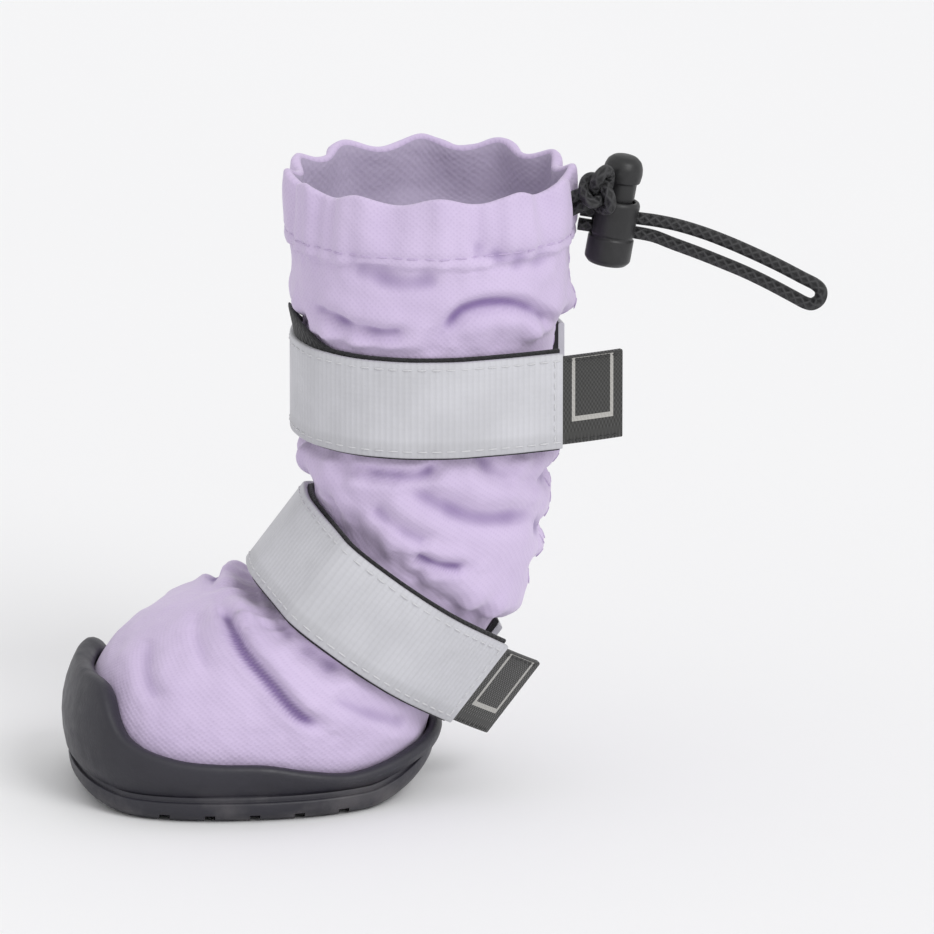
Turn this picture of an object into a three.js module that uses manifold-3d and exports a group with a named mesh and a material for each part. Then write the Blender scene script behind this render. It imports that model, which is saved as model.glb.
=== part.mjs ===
// Dog boot: a soft fabric boot on a cupped rubber sole with a raised toe cap, held by two hook-and-loop
// straps and by an elastic drawcord with a spring cord lock at the back of its collar.
// Millimetres, +Z up. The toe points to -X, and the straps end on the -Y side.
// The origin is at floor height, under the middle of the boot without its cord.
import * as THREE from "three";
import { mergeVertices } from "three/addons/utils/BufferGeometryUtils.js";
import Module from "manifold-3d";

const wasm = await Module();
wasm.setup();

// Driving dimensions of the last
const SOLE_LENGTH = 58;
const SOLE_WIDTH = 48;
const INSTEP_HEIGHT = 31;
const BOOT_HEIGHT = 97;
const SHAFT_SETBACK = 56.5; // toe tip to the shaft's middle
const SHAFT_DEPTH = 39; // front to back between the straps
const SHAFT_WIDTH = 38;

// Walls and clearances
const FABRIC = 1.4;
const CASING_STEP = 0.8; // the doubled hem stands proud of the shaft by this
const CASING_HEIGHT = 9.5;
const SEAM_GAP = 0.3; // between pieces that touch

// Outsole
const RUBBER_WALL = 2.1;
const SOLE_PLATE = 3.8;
const FOXING_HEIGHT = 3.2; // the thicker lower band of the side
const FOXING_STEP = 0.5;
const FOXING_SWELL = 0.9; // the side swells by this down to the foxing
const SHOULDER = 1.6; // from the foxing up to where the side starts to swell
const TOE_BUMPER = 1.3; // the rubber is thicker by this at the toe
const RIM_ROUNDING = 0.5;
const EDGE_ROUNDING = 2.4;
const TOE_SPRING = 2.6;
const TOE_FLAT_START = 10; // from the toe tip
const HEEL_SPRING = 5;
const HEEL_FLAT_END = 46; // from the toe tip
const TREAD_DEPTH = 1.2;
const TREAD_GROOVE = 1.6;
const TREAD_PITCH = 7;
const INSOLE_THICKNESS = 2;

// Straps
const STRAP_WIDTH = 15.2;
const STRAP_START = 8; // degrees from the back
const BACKING_MARGIN = 0.5; // the black backing shows past the grey face by this
const BACKING_THICKNESS = 0.7;
const FACE_THICKNESS = 0.7;
const ANKLE_STRAP_HEIGHT = 64.6;
const ANKLE_STRAP_LEAVE = 76; // degrees from the back at which the strap leaves the boot
const ANKLE_STRAP_TAIL = 15;
const INSTEP_STRAP_HEIGHT = 23; // of its middle, on the shaft's axis
const INSTEP_STRAP_SLOPE = 37; // degrees, high at the front
const INSTEP_STRAP_LEAVE = 92;
const INSTEP_STRAP_TAIL = 11;
const TAIL_RADIUS = 95; // a free tail bends in with this radius
const ANKLE_PINCH = 0.5;
const INSTEP_PINCH = 2.2;
const INSTEP_PINCH_FULL = 22; // height from which the instep strap's channel is whole
const PINCH_REACH = 1.6; // how far past the strap's edge the channel is flat
const PINCH_FADE = 4;
const TAB_LENGTH = 10;
const TAB_WIDTH = 14;
const TAB_THICKNESS = 1.1;

// Drawcord and cord lock
const CORD_DIAMETER = 2;
const LOCK_RADIUS = 3.6;
const LOCK_HEIGHT = 10.4;
const LOCK_FLOOR = 0.9;
const LOCK_BORE = 2.8;
const PLUNGER_CLEARANCE = 0.3;
const PLUNGER_TRAVEL = 1.6;
const PLUNGER_NECK = 3; // of the stem, showing between the barrel and the head
const PLUNGER_HEAD_RADIUS = 3.1;
const PLUNGER_HEAD = 4.2;
const LOCK_TILT = 10; // degrees from upright, towards the back
const LOCK_CENTRE_BEHIND_COLLAR = 5.6;
const LOCK_CENTRE_BELOW_COLLAR = 9.5;
const STRAND_SPACING = 2.3;
const STRAND_HEIGHT = 1.5; // of the strands' middle above the barrel's middle
const KNOT_WIDTH = 5.8;
const KNOT_HEIGHT = 8.4;
const KNOT_BEHIND_COLLAR = 2.8;
const KNOT_ASIDE = 5.4;
const KNOT_BELOW_COLLAR = 1.6;

// The cord's route, in the lock's own frame: x away from the boot and z along the plunger.
const CORD_ROUTE = [
  [-5.4, 0.35], [-3.6, 0.35], [0, 0.35], [3.6, 0.35], [6.6, 0.2], [9.8, -0.5], [13.7, -1.3],
  [17.6, -2.2], [21.6, -3.2], [25.5, -4.4], [29.5, -5.8], [31.8, -6.6], [33, -6.6], [33.9, -5.7],
  [33.9, -4.4], [32.9, -3.5], [30.6, -2.7], [26.5, -1.3], [22.5, -0.1], [18.4, 1], [14.3, 1.9],
  [10.2, 2.5], [6.6, 2.7], [3.6, 2.65], [0, 2.65], [-3.6, 2.65], [-5.4, 2.65],
];

// How finely the curved pieces are cut
const AROUND = 52;
const UPPER_ROWS = 30;
const INSIDE_ROWS = 19;
const STRAP_STEPS = 44;
const TAIL_STEPS = 5;
const CORD_SIDES = 8;
const TAUT_DIRECTIONS = 120;

const deg = (d) => (d * Math.PI) / 180;
const lerp = (a, b, t) => a + (b - a) * t;
const clamp01 = (t) => Math.min(1, Math.max(0, t));
const smooth = (a, b, x) => {
  const t = clamp01((x - a) / (b - a));
  return t * t * (3 - 2 * t);
};

// Sections of the upper, from its lower edge to its collar. Each is a closed curve in the plane through a
// point on the front line and a point on the back line. Lengths are shares: of the sole's length and
// the instep's height in the foot, and of the shaft's half depth and its height above the instep in the shaft.
// width is a share of the half width; blunt is the exponent of the oval at the toe and at the heel.
const FOOT_SECTIONS = [
  { front: 0.09, frontZ: 0.132, back: 0.922, backZ: 0.132, width: 0.86, blunt: 2.5, heel: 2.2, taper: 0.1 },
  { front: 0.055, frontZ: 0.27, back: 0.958, backZ: 0.245, width: 0.925, blunt: 2.5, heel: 2.2, taper: 0.1 },
  { front: 0.052, frontZ: 0.435, back: 1.01, backZ: 0.387, width: 0.94, blunt: 2.45, heel: 2.2, taper: 0.1 },
  { front: 0.083, frontZ: 0.6, back: 1.076, backZ: 0.542, width: 0.935, blunt: 2.4, heel: 2.2, taper: 0.09 },
  { front: 0.141, frontZ: 0.748, back: 1.145, backZ: 0.71, width: 0.915, blunt: 2.35, heel: 2.2, taper: 0.08 },
  { front: 0.221, frontZ: 0.871, back: 1.203, backZ: 0.887, width: 0.88, blunt: 2.3, heel: 2.15, taper: 0.06 },
  { front: 0.317, frontZ: 0.955, back: 1.245, backZ: 1.065, width: 0.85, blunt: 2.25, heel: 2.1, taper: 0.04 },
  { front: 0.417, frontZ: 0.99, back: 1.272, backZ: 1.242, width: 0.825, blunt: 2.2, heel: 2.1, taper: 0.02 },
];
const SHAFT_SECTIONS = [
  { front: 1.37, frontZ: 0.012, back: 0.93, backZ: 0.2, width: 1.02, blunt: 2.15, heel: 2.1, taper: 0 },
  { front: 1.18, frontZ: 0.066, back: 0.95, backZ: 0.28, width: 1.01, blunt: 2.1, heel: 2.1, taper: 0 },
  { front: 1.065, frontZ: 0.152, back: 0.965, backZ: 0.355, width: 1.005, blunt: 2.1, heel: 2.1, taper: 0 },
  { front: 1.01, frontZ: 0.265, back: 0.985, backZ: 0.437, width: 1.005, blunt: 2.1, heel: 2.1, taper: 0 },
  { front: 0.99, frontZ: 0.392, back: 1.0, backZ: 0.52, width: 1.01, blunt: 2.1, heel: 2.1, taper: 0 },
  { front: 1.0, frontZ: 0.52, back: 1.03, backZ: 0.615, width: 1.02, blunt: 2.1, heel: 2.1, taper: 0 },
  { front: 1.03, frontZ: 0.64, back: 1.08, backZ: 0.71, width: 1.05, blunt: 2.1, heel: 2.1, taper: 0 },
  { front: 1.08, frontZ: 0.76, back: 1.12, backZ: 0.805, width: 1.09, blunt: 2.1, heel: 2.1, taper: 0 },
  { front: 1.1, frontZ: 0.88, back: 1.13, backZ: 0.905, width: 1.11, blunt: 2.1, heel: 2.1, taper: 0 },
  { front: 1.07, frontZ: 1.0, back: 1.1, backZ: 1.0, width: 1.08, blunt: 2.1, heel: 2.1, taper: 0 },
];

const shaftRise = BOOT_HEIGHT - INSTEP_HEIGHT;
const SECTIONS = [
  ...FOOT_SECTIONS.map((s) => ({
    ...s,
    front: s.front * SOLE_LENGTH,
    frontZ: s.frontZ * INSTEP_HEIGHT,
    back: s.back * SOLE_LENGTH,
    backZ: s.backZ * INSTEP_HEIGHT,
    width: (s.width * SOLE_WIDTH) / 2,
  })),
  ...SHAFT_SECTIONS.map((s) => ({
    ...s,
    front: SHAFT_SETBACK - (s.front * SHAFT_DEPTH) / 2,
    frontZ: INSTEP_HEIGHT + s.frontZ * shaftRise,
    back: SHAFT_SETBACK + (s.back * SHAFT_DEPTH) / 2,
    backZ: INSTEP_HEIGHT + s.backZ * shaftRise,
    width: (s.width * SHAFT_WIDTH) / 2,
  })),
];

// A column of a table at a share of its length, along a smooth curve through its rows.
function column(rows, name, share) {
  const place = clamp01(share) * (rows.length - 1);
  const i = Math.min(Math.floor(place), rows.length - 2);
  const value = (k) => rows[Math.min(Math.max(k, 0), rows.length - 1)][name];
  const t = place - i;
  const [a, b, c, d] = [value(i - 1), value(i), value(i + 1), value(i + 2)];
  return b + 0.5 * t * (c - a + t * (2 * a - 5 * b + 4 * c - d + t * (3 * (b - c) + d - a)));
}

// A point of the last at a share of the way up and an angle round it: 0 at the back, 180 degrees at the toe.
function lastPoint(share, angle) {
  const at = (name) => column(SECTIONS, name, share);
  const front = at("front");
  const back = at("back");
  const towardsToe = (1 - Math.cos(angle)) / 2;
  const power = lerp(at("heel"), at("blunt"), towardsToe);
  const c = Math.cos(angle);
  const s = Math.sin(angle);
  const radius = (Math.abs(c) ** power + Math.abs(s) ** power) ** (-1 / power);
  const along = radius * c;
  const x = (front + back) / 2 + (along * (back - front)) / 2;
  const y = radius * s * at("width") * (1 - at("taper") * along);
  const z = lerp(at("frontZ"), at("backZ"), (1 + along) / 2);
  return new THREE.Vector3(x, y, z);
}

// The outward normal of a surface given as a function of a share and an angle.
function normalOf(surface, share, angle) {
  const step = 0.004;
  const low = Math.max(0, share - step);
  const high = Math.min(1, share + step);
  const up = surface(high, angle).sub(surface(low, angle));
  const round = surface(share, angle + step).sub(surface(share, angle - step));
  return round.cross(up).normalize();
}

// Each strap lies in a plane: its middle, its direction towards the back, and the way across its width.
function strapPlane(height, slope) {
  const tilt = deg(slope);
  return {
    middle: new THREE.Vector3(SHAFT_SETBACK, 0, height),
    back: new THREE.Vector3(Math.cos(tilt), 0, -Math.sin(tilt)),
    across: new THREE.Vector3(Math.sin(tilt), 0, Math.cos(tilt)),
  };
}
const ANKLE = strapPlane(ANKLE_STRAP_HEIGHT, 0);
const INSTEP = strapPlane(INSTEP_STRAP_HEIGHT, INSTEP_STRAP_SLOPE);
const offPlane = (plane, p) => p.clone().sub(plane.middle).dot(plane.across);

// A taut strap presses a shallow channel into the fabric, which swells out beside it.
function pinch(plane, depth, p) {
  const beside = Math.abs(offPlane(plane, p)) - STRAP_WIDTH / 2 - PINCH_REACH;
  return -depth * (1 - smooth(0, PINCH_FADE, beside));
}

// The hem is gathered into soft folds by the elastic.
const GATHERS = 12;
const GATHER_DEPTH = 0.8;
const SCALLOP_REACH = 3; // the rim's edge rises and falls with the folds down to this
function gather(angle, z) {
  const pull = smooth(BOOT_HEIGHT - 1.6 * CASING_HEIGHT, BOOT_HEIGHT, z);
  return GATHER_DEPTH * pull * Math.cos(GATHERS * angle + 0.9 * Math.sin(2 * angle));
}

// The outside of the upper.
function upperSurface(share, angle) {
  const p = lastPoint(share, angle);
  const normal = normalOf(lastPoint, share, angle);
  const hem = BOOT_HEIGHT - CASING_HEIGHT;
  const step = CASING_STEP * smooth(hem - CASING_STEP, hem, p.z);
  const low = smooth(0, INSTEP_PINCH_FULL, p.z);
  const press = pinch(ANKLE, ANKLE_PINCH, p) + pinch(INSTEP, INSTEP_PINCH, p) * low;
  const fold = gather(angle, p.z);
  p.addScaledVector(normal, step + press + fold);
  p.z += fold * 0.8 * smooth(BOOT_HEIGHT - SCALLOP_REACH, BOOT_HEIGHT, p.z);
  return p;
}
function upperWall(share, angle, outward) {
  return upperSurface(share, angle).addScaledVector(normalOf(upperSurface, share, angle), outward);
}

// The share of the way up at which the outside reaches a height, on one line up the boot.
function shareAt(angle, z) {
  let [low, high] = [0, 0.6];
  for (let i = 0; i < 24; i++) {
    const middle = (low + high) / 2;
    if (lastPoint(middle, angle).z < z) low = middle;
    else high = middle;
  }
  return (low + high) / 2;
}

// Solids from rings of points. A ring may be one point, which closes that end.
function ringSolid(rings, closed = false) {
  const positions = [];
  const starts = rings.map((ring) => {
    const start = positions.length / 3;
    ring.forEach((p) => positions.push(p.x, p.y, p.z));
    return start;
  });
  const index = [];
  const last = closed ? rings.length : rings.length - 1;
  for (let i = 0; i < last; i++) {
    const j = (i + 1) % rings.length;
    const n = Math.max(rings[i].length, rings[j].length);
    for (let k = 0; k < n; k++) {
      const m = (k + 1) % n;
      const a = starts[i] + (rings[i].length > 1 ? k : 0);
      const b = starts[i] + (rings[i].length > 1 ? m : 0);
      const c = starts[j] + (rings[j].length > 1 ? m : 0);
      const d = starts[j] + (rings[j].length > 1 ? k : 0);
      if (rings[i].length > 1) index.push(a, b, c);
      if (rings[j].length > 1) index.push(a, c, d);
    }
  }
  const geometry = new THREE.BufferGeometry();
  geometry.setAttribute("position", new THREE.Float32BufferAttribute(positions, 3));
  geometry.setIndex(index);
  return geometry;
}
const angles = Array.from({ length: AROUND }, (_, i) => (2 * Math.PI * i) / AROUND);

// Joins and cuts of closed meshes.
function toManifold(geometry) {
  const bare = geometry.clone();
  bare.deleteAttribute("normal");
  bare.deleteAttribute("uv");
  const merged = mergeVertices(bare, 1e-4);
  return new wasm.Manifold(
    new wasm.Mesh({
      numProp: 3,
      vertProperties: merged.attributes.position.array,
      triVerts: new Uint32Array(merged.index.array),
    }),
  );
}
function fromManifold(solid) {
  const mesh = solid.getMesh();
  const geometry = new THREE.BufferGeometry();
  geometry.setAttribute("position", new THREE.BufferAttribute(mesh.vertProperties, 3));
  geometry.setIndex(new THREE.BufferAttribute(mesh.triVerts, 1));
  return geometry;
}
const cut = (body, tools) =>
  fromManifold(tools.reduce((left, tool) => left.subtract(toManifold(tool)), toManifold(body)));

// Upper: one hollow wall from the sole to the collar, open at both.
const upperFoot = SOLE_PLATE + SEAM_GAP;
function wallRows(count, outward) {
  return Array.from({ length: count }, (_, i) => angles.map((a) => {
    const p = upperWall(i / (count - 1), a, outward);
    if (i === 0) p.z = upperFoot;
    return p;
  }));
}
const outsideRows = wallRows(UPPER_ROWS, 0);
function upperGeometry() {
  const insideRows = wallRows(INSIDE_ROWS, -FABRIC).reverse();
  const lip = angles.map((a) => {
    const p = upperWall(1, a, -FABRIC / 2);
    p.z += FABRIC * 0.4;
    return p;
  });
  return ringSolid([...outsideRows, lip, ...insideRows], true);
}

// Points along the edges of the upper's outer facets.
function outsideEdges() {
  const points = [];
  for (let i = 0; i + 1 < outsideRows.length; i++) {
    for (let k = 0; k < AROUND; k++) {
      const next = (k + 1) % AROUND;
      const from = outsideRows[i][k];
      for (const to of [outsideRows[i + 1][k], outsideRows[i + 1][next], outsideRows[i][next]]) {
        for (let t = 0; t < 1; t += 0.05) points.push(from.clone().lerp(to, t));
      }
    }
  }
  return points;
}
const edgePoints = outsideEdges();

// Outsole: a rubber cup whose rim rises into the toe cap and again, a little, at the heel.
// The rows go from the toe round to the heel, and height is a share of the instep's height.
const RIM = [
  { height: 0.605 }, { height: 0.61 }, { height: 0.59 }, { height: 0.4 }, { height: 0.326 },
  { height: 0.303 }, { height: 0.294 }, { height: 0.252 }, { height: 0.219 }, { height: 0.245 },
  { height: 0.3 }, { height: 0.319 }, { height: 0.323 },
];
const fromToe = (angle) => Math.acos(Math.min(1, Math.max(-1, -Math.cos(angle)))) / Math.PI;
const rimHeight = (angle) => INSTEP_HEIGHT * column(RIM, "height", fromToe(angle));

function floorRise(x) {
  const toe = clamp01((TOE_FLAT_START - x) / TOE_FLAT_START);
  const heel = clamp01((x - HEEL_FLAT_END) / (SOLE_LENGTH - HEEL_FLAT_END));
  return TOE_SPRING * toe ** 2 + HEEL_SPRING * heel ** 1.6;
}

function outsoleGeometry() {
  const inner = (a, z, out = 0) => upperWall(shareAt(a, z), a, SEAM_GAP + out);
  const low = (a) => inner(a, upperFoot);
  const middle = new THREE.Vector3(SOLE_LENGTH / 2, 0, 0);
  const plateTop = new THREE.Vector3(middle.x, 0, SOLE_PLATE);
  const rings = [[plateTop]];
  rings.push(angles.map((a) => low(a).lerp(plateTop, 0.5).setZ(SOLE_PLATE)));
  rings.push(angles.map((a) => low(a).setZ(SOLE_PLATE)));
  for (const up of [0.25, 0.5, 0.75, 0.96]) {
    rings.push(angles.map((a) => inner(a, lerp(upperFoot, rimHeight(a), up))));
  }
  const wall = (a) => RUBBER_WALL + TOE_BUMPER * (1 - smooth(0.12, 0.45, fromToe(a)));
  const away = (a) => low(a).sub(middle).setZ(0).normalize();
  const foot = (a, out) => low(a).addScaledVector(away(a), wall(a) + out);
  const shoulder = (a) => Math.min(
    FOXING_HEIGHT + SHOULDER + floorRise(foot(a, FOXING_SWELL).x),
    rimHeight(a) - 2 * RIM_ROUNDING,
  );
  rings.push(angles.map((a) => inner(a, rimHeight(a), wall(a) * 0.35)));
  rings.push(angles.map((a) => inner(a, rimHeight(a) - RIM_ROUNDING, wall(a) * 0.75)));
  for (const down of [0.8, 0.5, 0.15]) {
    const height = (a) => lerp(shoulder(a), rimHeight(a) - RIM_ROUNDING, down);
    rings.push(angles.map((a) => inner(a, height(a), wall(a))));
  }
  const side = (a, out, z) => {
    const p = foot(a, out);
    return p.setZ(z + floorRise(p.x));
  };
  rings.push(angles.map((a) => side(a, FOXING_SWELL, FOXING_HEIGHT + 0.4)));
  rings.push(angles.map((a) => side(a, FOXING_SWELL + FOXING_STEP, FOXING_HEIGHT)));
  rings.push(angles.map((a) => side(a, FOXING_SWELL + FOXING_STEP - 0.2, EDGE_ROUNDING * 0.55)));
  rings.push(angles.map((a) => side(a, -0.1, EDGE_ROUNDING * 0.12)));
  const sole = (a) => foot(a, -EDGE_ROUNDING * 0.5).setZ(0);
  const flat = (HEEL_FLAT_END - middle.x) / (sole(0).x - middle.x);
  for (const share of [0.93, 0.8, lerp(0.8, flat, 0.5), flat]) {
    rings.push(angles.map((a) => {
      const p = middle.clone().lerp(sole(a), share);
      return p.setZ(floorRise(p.x));
    }));
  }
  rings.push([middle.clone()]);
  return ringSolid(rings.reverse());
}

function treadTools() {
  const grooves = [];
  const across = new THREE.BoxGeometry(TREAD_GROOVE, SOLE_WIDTH * 1.4, 2 * TREAD_DEPTH);
  const count = Math.floor((HEEL_FLAT_END - TOE_FLAT_START) / TREAD_PITCH);
  const first = (HEEL_FLAT_END + TOE_FLAT_START - (count - 1) * TREAD_PITCH) / 2;
  for (let i = 0; i < count; i++) grooves.push(across.clone().translate(first + i * TREAD_PITCH, 0, 0));
  return grooves;
}

// Insole: lies on the outsole's plate inside the upper.
function insoleGeometry() {
  const inset = -FABRIC - 2 * SEAM_GAP;
  const edge = (z) => angles.map((a) => upperWall(shareAt(a, z), a, inset).setZ(z));
  const bottom = upperFoot;
  const top = upperFoot + INSOLE_THICKNESS;
  const middle = (z) => [new THREE.Vector3(SOLE_LENGTH / 2, 0, z)];
  return ringSolid([middle(bottom), edge(bottom), edge(top), middle(top)]);
}

// The taut path of a strap: the outline of what lies under it, seen across its width, with no hollows.
function tautLoop(plane, gap) {
  const points = [];
  for (const p of edgePoints) {
    if (Math.abs(offPlane(plane, p)) > STRAP_WIDTH / 2 + BACKING_MARGIN + 0.3) continue;
    const away = p.clone().sub(plane.middle);
    points.push([away.dot(plane.back), away.y]);
  }
  const reach = Array.from({ length: TAUT_DIRECTIONS }, (_, i) => {
    const d = (2 * Math.PI * i) / TAUT_DIRECTIONS;
    return { d, far: Math.max(...points.map(([u, v]) => u * Math.cos(d) + v * Math.sin(d))) + gap };
  });
  return (angle) => {
    const facing = reach.filter((r) => Math.cos(angle - r.d) > 0.3);
    return Math.min(...facing.map((r) => r.far / Math.cos(angle - r.d)));
  };
}

// The strap's line starts at the back, runs round the far side, the front and the near side, and leaves
// the boot as a straight tail. Each station has its place and the way that faces off the boot.
function strapLine(plane, leave, tail) {
  const loop = tautLoop(plane, SEAM_GAP);
  const place = (angle) => plane.middle.clone()
    .addScaledVector(plane.back, loop(angle) * Math.cos(angle))
    .setY(loop(angle) * Math.sin(angle));
  const stations = [];
  for (let i = 0; i <= STRAP_STEPS; i++) {
    const angle = lerp(deg(STRAP_START), 2 * Math.PI - deg(leave), i / STRAP_STEPS);
    const along = place(angle + 0.03).sub(place(angle - 0.03)).normalize();
    stations.push({ at: place(angle), along });
  }
  const end = stations[stations.length - 1];
  const line = (distance) => {
    const turn = distance / TAIL_RADIUS;
    const along = end.along.clone().applyAxisAngle(plane.across, turn);
    const chord = end.along.clone().applyAxisAngle(plane.across, turn / 2);
    const at = end.at.clone().addScaledVector(chord, distance);
    return { at, along };
  };
  for (let i = 1; i <= TAIL_STEPS; i++) stations.push(line((tail * i) / TAIL_STEPS));
  const tab = [];
  for (let i = 0; i <= 3; i++) tab.push(line(tail + SEAM_GAP + (TAB_LENGTH * i) / 3));
  return { stations, tab };
}

// A flat band along stations, from one distance off the boot to another.
function bandSolid(plane, stations, width, from, to) {
  const rings = stations.map(({ at, along }) => {
    const off = along.clone().cross(plane.across).normalize();
    const corner = (side, out) => at.clone()
      .addScaledVector(plane.across, (side * width) / 2)
      .addScaledVector(off, out);
    return [corner(-1, from), corner(1, from), corner(1, to), corner(-1, to)];
  });
  const centre = (ring) => [ring.reduce((sum, p) => sum.add(p), new THREE.Vector3()).divideScalar(4)];
  return ringSolid([centre(rings[0]), ...rings, centre(rings[rings.length - 1])]);
}

// Straight round solid from a profile of [radius, height] that starts and ends on the axis.
function turned(profile, segments = 20) {
  const points = profile.map(([r, h]) => new THREE.Vector2(r, h));
  return new THREE.LatheGeometry(points, segments).rotateX(Math.PI / 2);
}

function tube(points, diameter) {
  const curve = new THREE.CatmullRomCurve3(points, false, "centripetal");
  const steps = Math.max(4, Math.round(curve.getLength() / (0.65 * diameter)));
  const section = new THREE.Shape();
  for (let i = 0; i < CORD_SIDES; i++) {
    const a = (2 * Math.PI * i) / CORD_SIDES;
    const [x, y] = [(Math.cos(a) * diameter) / 2, (Math.sin(a) * diameter) / 2];
    if (i) section.lineTo(x, y);
    else section.moveTo(x, y);
  }
  section.closePath();
  return new THREE.ExtrudeGeometry(section, { steps, extrudePath: curve, bevelEnabled: false });
}

const finish = (color, roughness) => new THREE.MeshStandardMaterial({ color, roughness });
const lavender = finish(0xcdb9e0, 0.75);
const rubber = finish(0x2b2930, 0.6);
const lining = finish(0x3a383d, 0.9);
const reflective = finish(0xb4b4ba, 0.45);
const webbing = finish(0x1d1c20, 0.9);
const woven = finish(0x333231, 0.85);
const elastic = finish(0x202022, 0.7);
const plastic = finish(0x1a1b1c, 0.4);

const boot = new THREE.Group();
const cord = new THREE.Group();
function add(group, name, geometry, material) {
  const mesh = new THREE.Mesh(geometry, material);
  mesh.name = name;
  group.add(mesh);
  return mesh;
}

add(boot, "upper", upperGeometry(), lavender);
add(boot, "outsole", cut(outsoleGeometry(), treadTools()), rubber);
add(boot, "insole", insoleGeometry(), lining);

for (const strap of [
  { name: "ankle_strap", plane: ANKLE, leave: ANKLE_STRAP_LEAVE, tail: ANKLE_STRAP_TAIL },
  { name: "instep_strap", plane: INSTEP, leave: INSTEP_STRAP_LEAVE, tail: INSTEP_STRAP_TAIL },
]) {
  const { stations, tab } = strapLine(strap.plane, strap.leave, strap.tail);
  const faceFrom = BACKING_THICKNESS + SEAM_GAP;
  const backing = bandSolid(strap.plane, stations, STRAP_WIDTH + 2 * BACKING_MARGIN, 0, BACKING_THICKNESS);
  const face = bandSolid(strap.plane, stations, STRAP_WIDTH, faceFrom, faceFrom + FACE_THICKNESS);
  const tabFrom = (faceFrom + FACE_THICKNESS - TAB_THICKNESS) / 2;
  add(boot, strap.name + "_backing", backing, webbing);
  add(boot, strap.name, face, reflective);
  const tag = bandSolid(strap.plane, tab, TAB_WIDTH, tabFrom, tabFrom + TAB_THICKNESS);
  add(boot, strap.name + "_tab", tag, woven);
}

// Cord lock: a turned barrel and a sprung plunger, both slotted across for the cord's two strands.
const collarBack = upperSurface(1, 0);
const lockCentre = new THREE.Vector3(
  collarBack.x + LOCK_CENTRE_BEHIND_COLLAR,
  0,
  BOOT_HEIGHT - LOCK_CENTRE_BELOW_COLLAR,
);
const lock = new THREE.Group();
lock.position.copy(lockCentre);
lock.rotation.y = deg(LOCK_TILT);
cord.add(lock);

const lockTop = LOCK_HEIGHT / 2;
const lockBottom = -LOCK_HEIGHT / 2;
const boreFloor = lockBottom + LOCK_FLOOR;
const slotHalf = (STRAND_SPACING + CORD_DIAMETER) / 2 + SEAM_GAP;
const slotWidth = CORD_DIAMETER + 2 * SEAM_GAP;
const crossSlot = (low, high) => new THREE.BoxGeometry(4 * LOCK_RADIUS, slotWidth, high - low)
  .translate(0, 0, (low + high) / 2);
const slotLow = STRAND_HEIGHT - slotHalf;
const slotHigh = STRAND_HEIGHT + slotHalf;
const barrel = turned([
  [0, lockBottom],
  [LOCK_RADIUS * 0.8, lockBottom],
  [LOCK_RADIUS, lockBottom + 0.8],
  [LOCK_RADIUS, lockTop - 0.5],
  [LOCK_RADIUS * 0.92, lockTop],
  [LOCK_BORE, lockTop],
  [LOCK_BORE, boreFloor],
  [0, boreFloor],
]);
add(lock, "cord_lock_barrel", cut(barrel, [crossSlot(slotLow, slotHigh)]), plastic);
const stem = LOCK_BORE - PLUNGER_CLEARANCE;
const stemFoot = boreFloor + PLUNGER_TRAVEL + SEAM_GAP;
const headFoot = lockTop + PLUNGER_NECK;
const plunger = turned([
  [0, stemFoot],
  [stem, stemFoot],
  [stem, headFoot],
  [PLUNGER_HEAD_RADIUS * 0.94, headFoot],
  [PLUNGER_HEAD_RADIUS, headFoot + PLUNGER_HEAD * 0.3],
  [PLUNGER_HEAD_RADIUS * 0.85, headFoot + PLUNGER_HEAD * 0.75],
  [PLUNGER_HEAD_RADIUS * 0.45, headFoot + PLUNGER_HEAD * 0.97],
  [0, headFoot + PLUNGER_HEAD],
]);
add(lock, "cord_lock_plunger", cut(plunger, [crossSlot(slotLow, slotHigh + PLUNGER_TRAVEL)]), plastic);

// The drawcord leaves the hem, runs through the lock, turns back at the end of its loop and returns.
const cordPoints = CORD_ROUTE.map(([x, z]) => new THREE.Vector3(x, 0, z));
add(lock, "drawcord", tube(cordPoints, CORD_DIAMETER), elastic);

// The cord's tied ends sit in a knot just behind the hem.
const knotCentre = new THREE.Vector3(
  collarBack.x + KNOT_BEHIND_COLLAR,
  -KNOT_ASIDE,
  BOOT_HEIGHT - KNOT_BELOW_COLLAR,
);
const knot = turned([
  [0, -KNOT_HEIGHT / 2],
  [KNOT_WIDTH * 0.3, -KNOT_HEIGHT * 0.44],
  [KNOT_WIDTH * 0.48, -KNOT_HEIGHT * 0.14],
  [KNOT_WIDTH * 0.44, 0],
  [KNOT_WIDTH * 0.48, KNOT_HEIGHT * 0.14],
  [KNOT_WIDTH * 0.3, KNOT_HEIGHT * 0.44],
  [0, KNOT_HEIGHT / 2],
], 12);
add(cord, "drawcord_knot", knot.translate(knotCentre.x, knotCentre.y, knotCentre.z), elastic);

const group = new THREE.Group();
group.add(boot, cord);
const box = new THREE.Box3().setFromObject(boot);
const centre = box.getCenter(new THREE.Vector3());
group.position.set(-centre.x, -centre.y, -box.min.z);

export default group;
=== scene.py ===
# The looks of a soft dog boot on a cupped rubber sole, with two hook-and-loop straps and a drawcord.
import math

import bpy
import bmesh
import numpy as np
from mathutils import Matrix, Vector, noise


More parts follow.
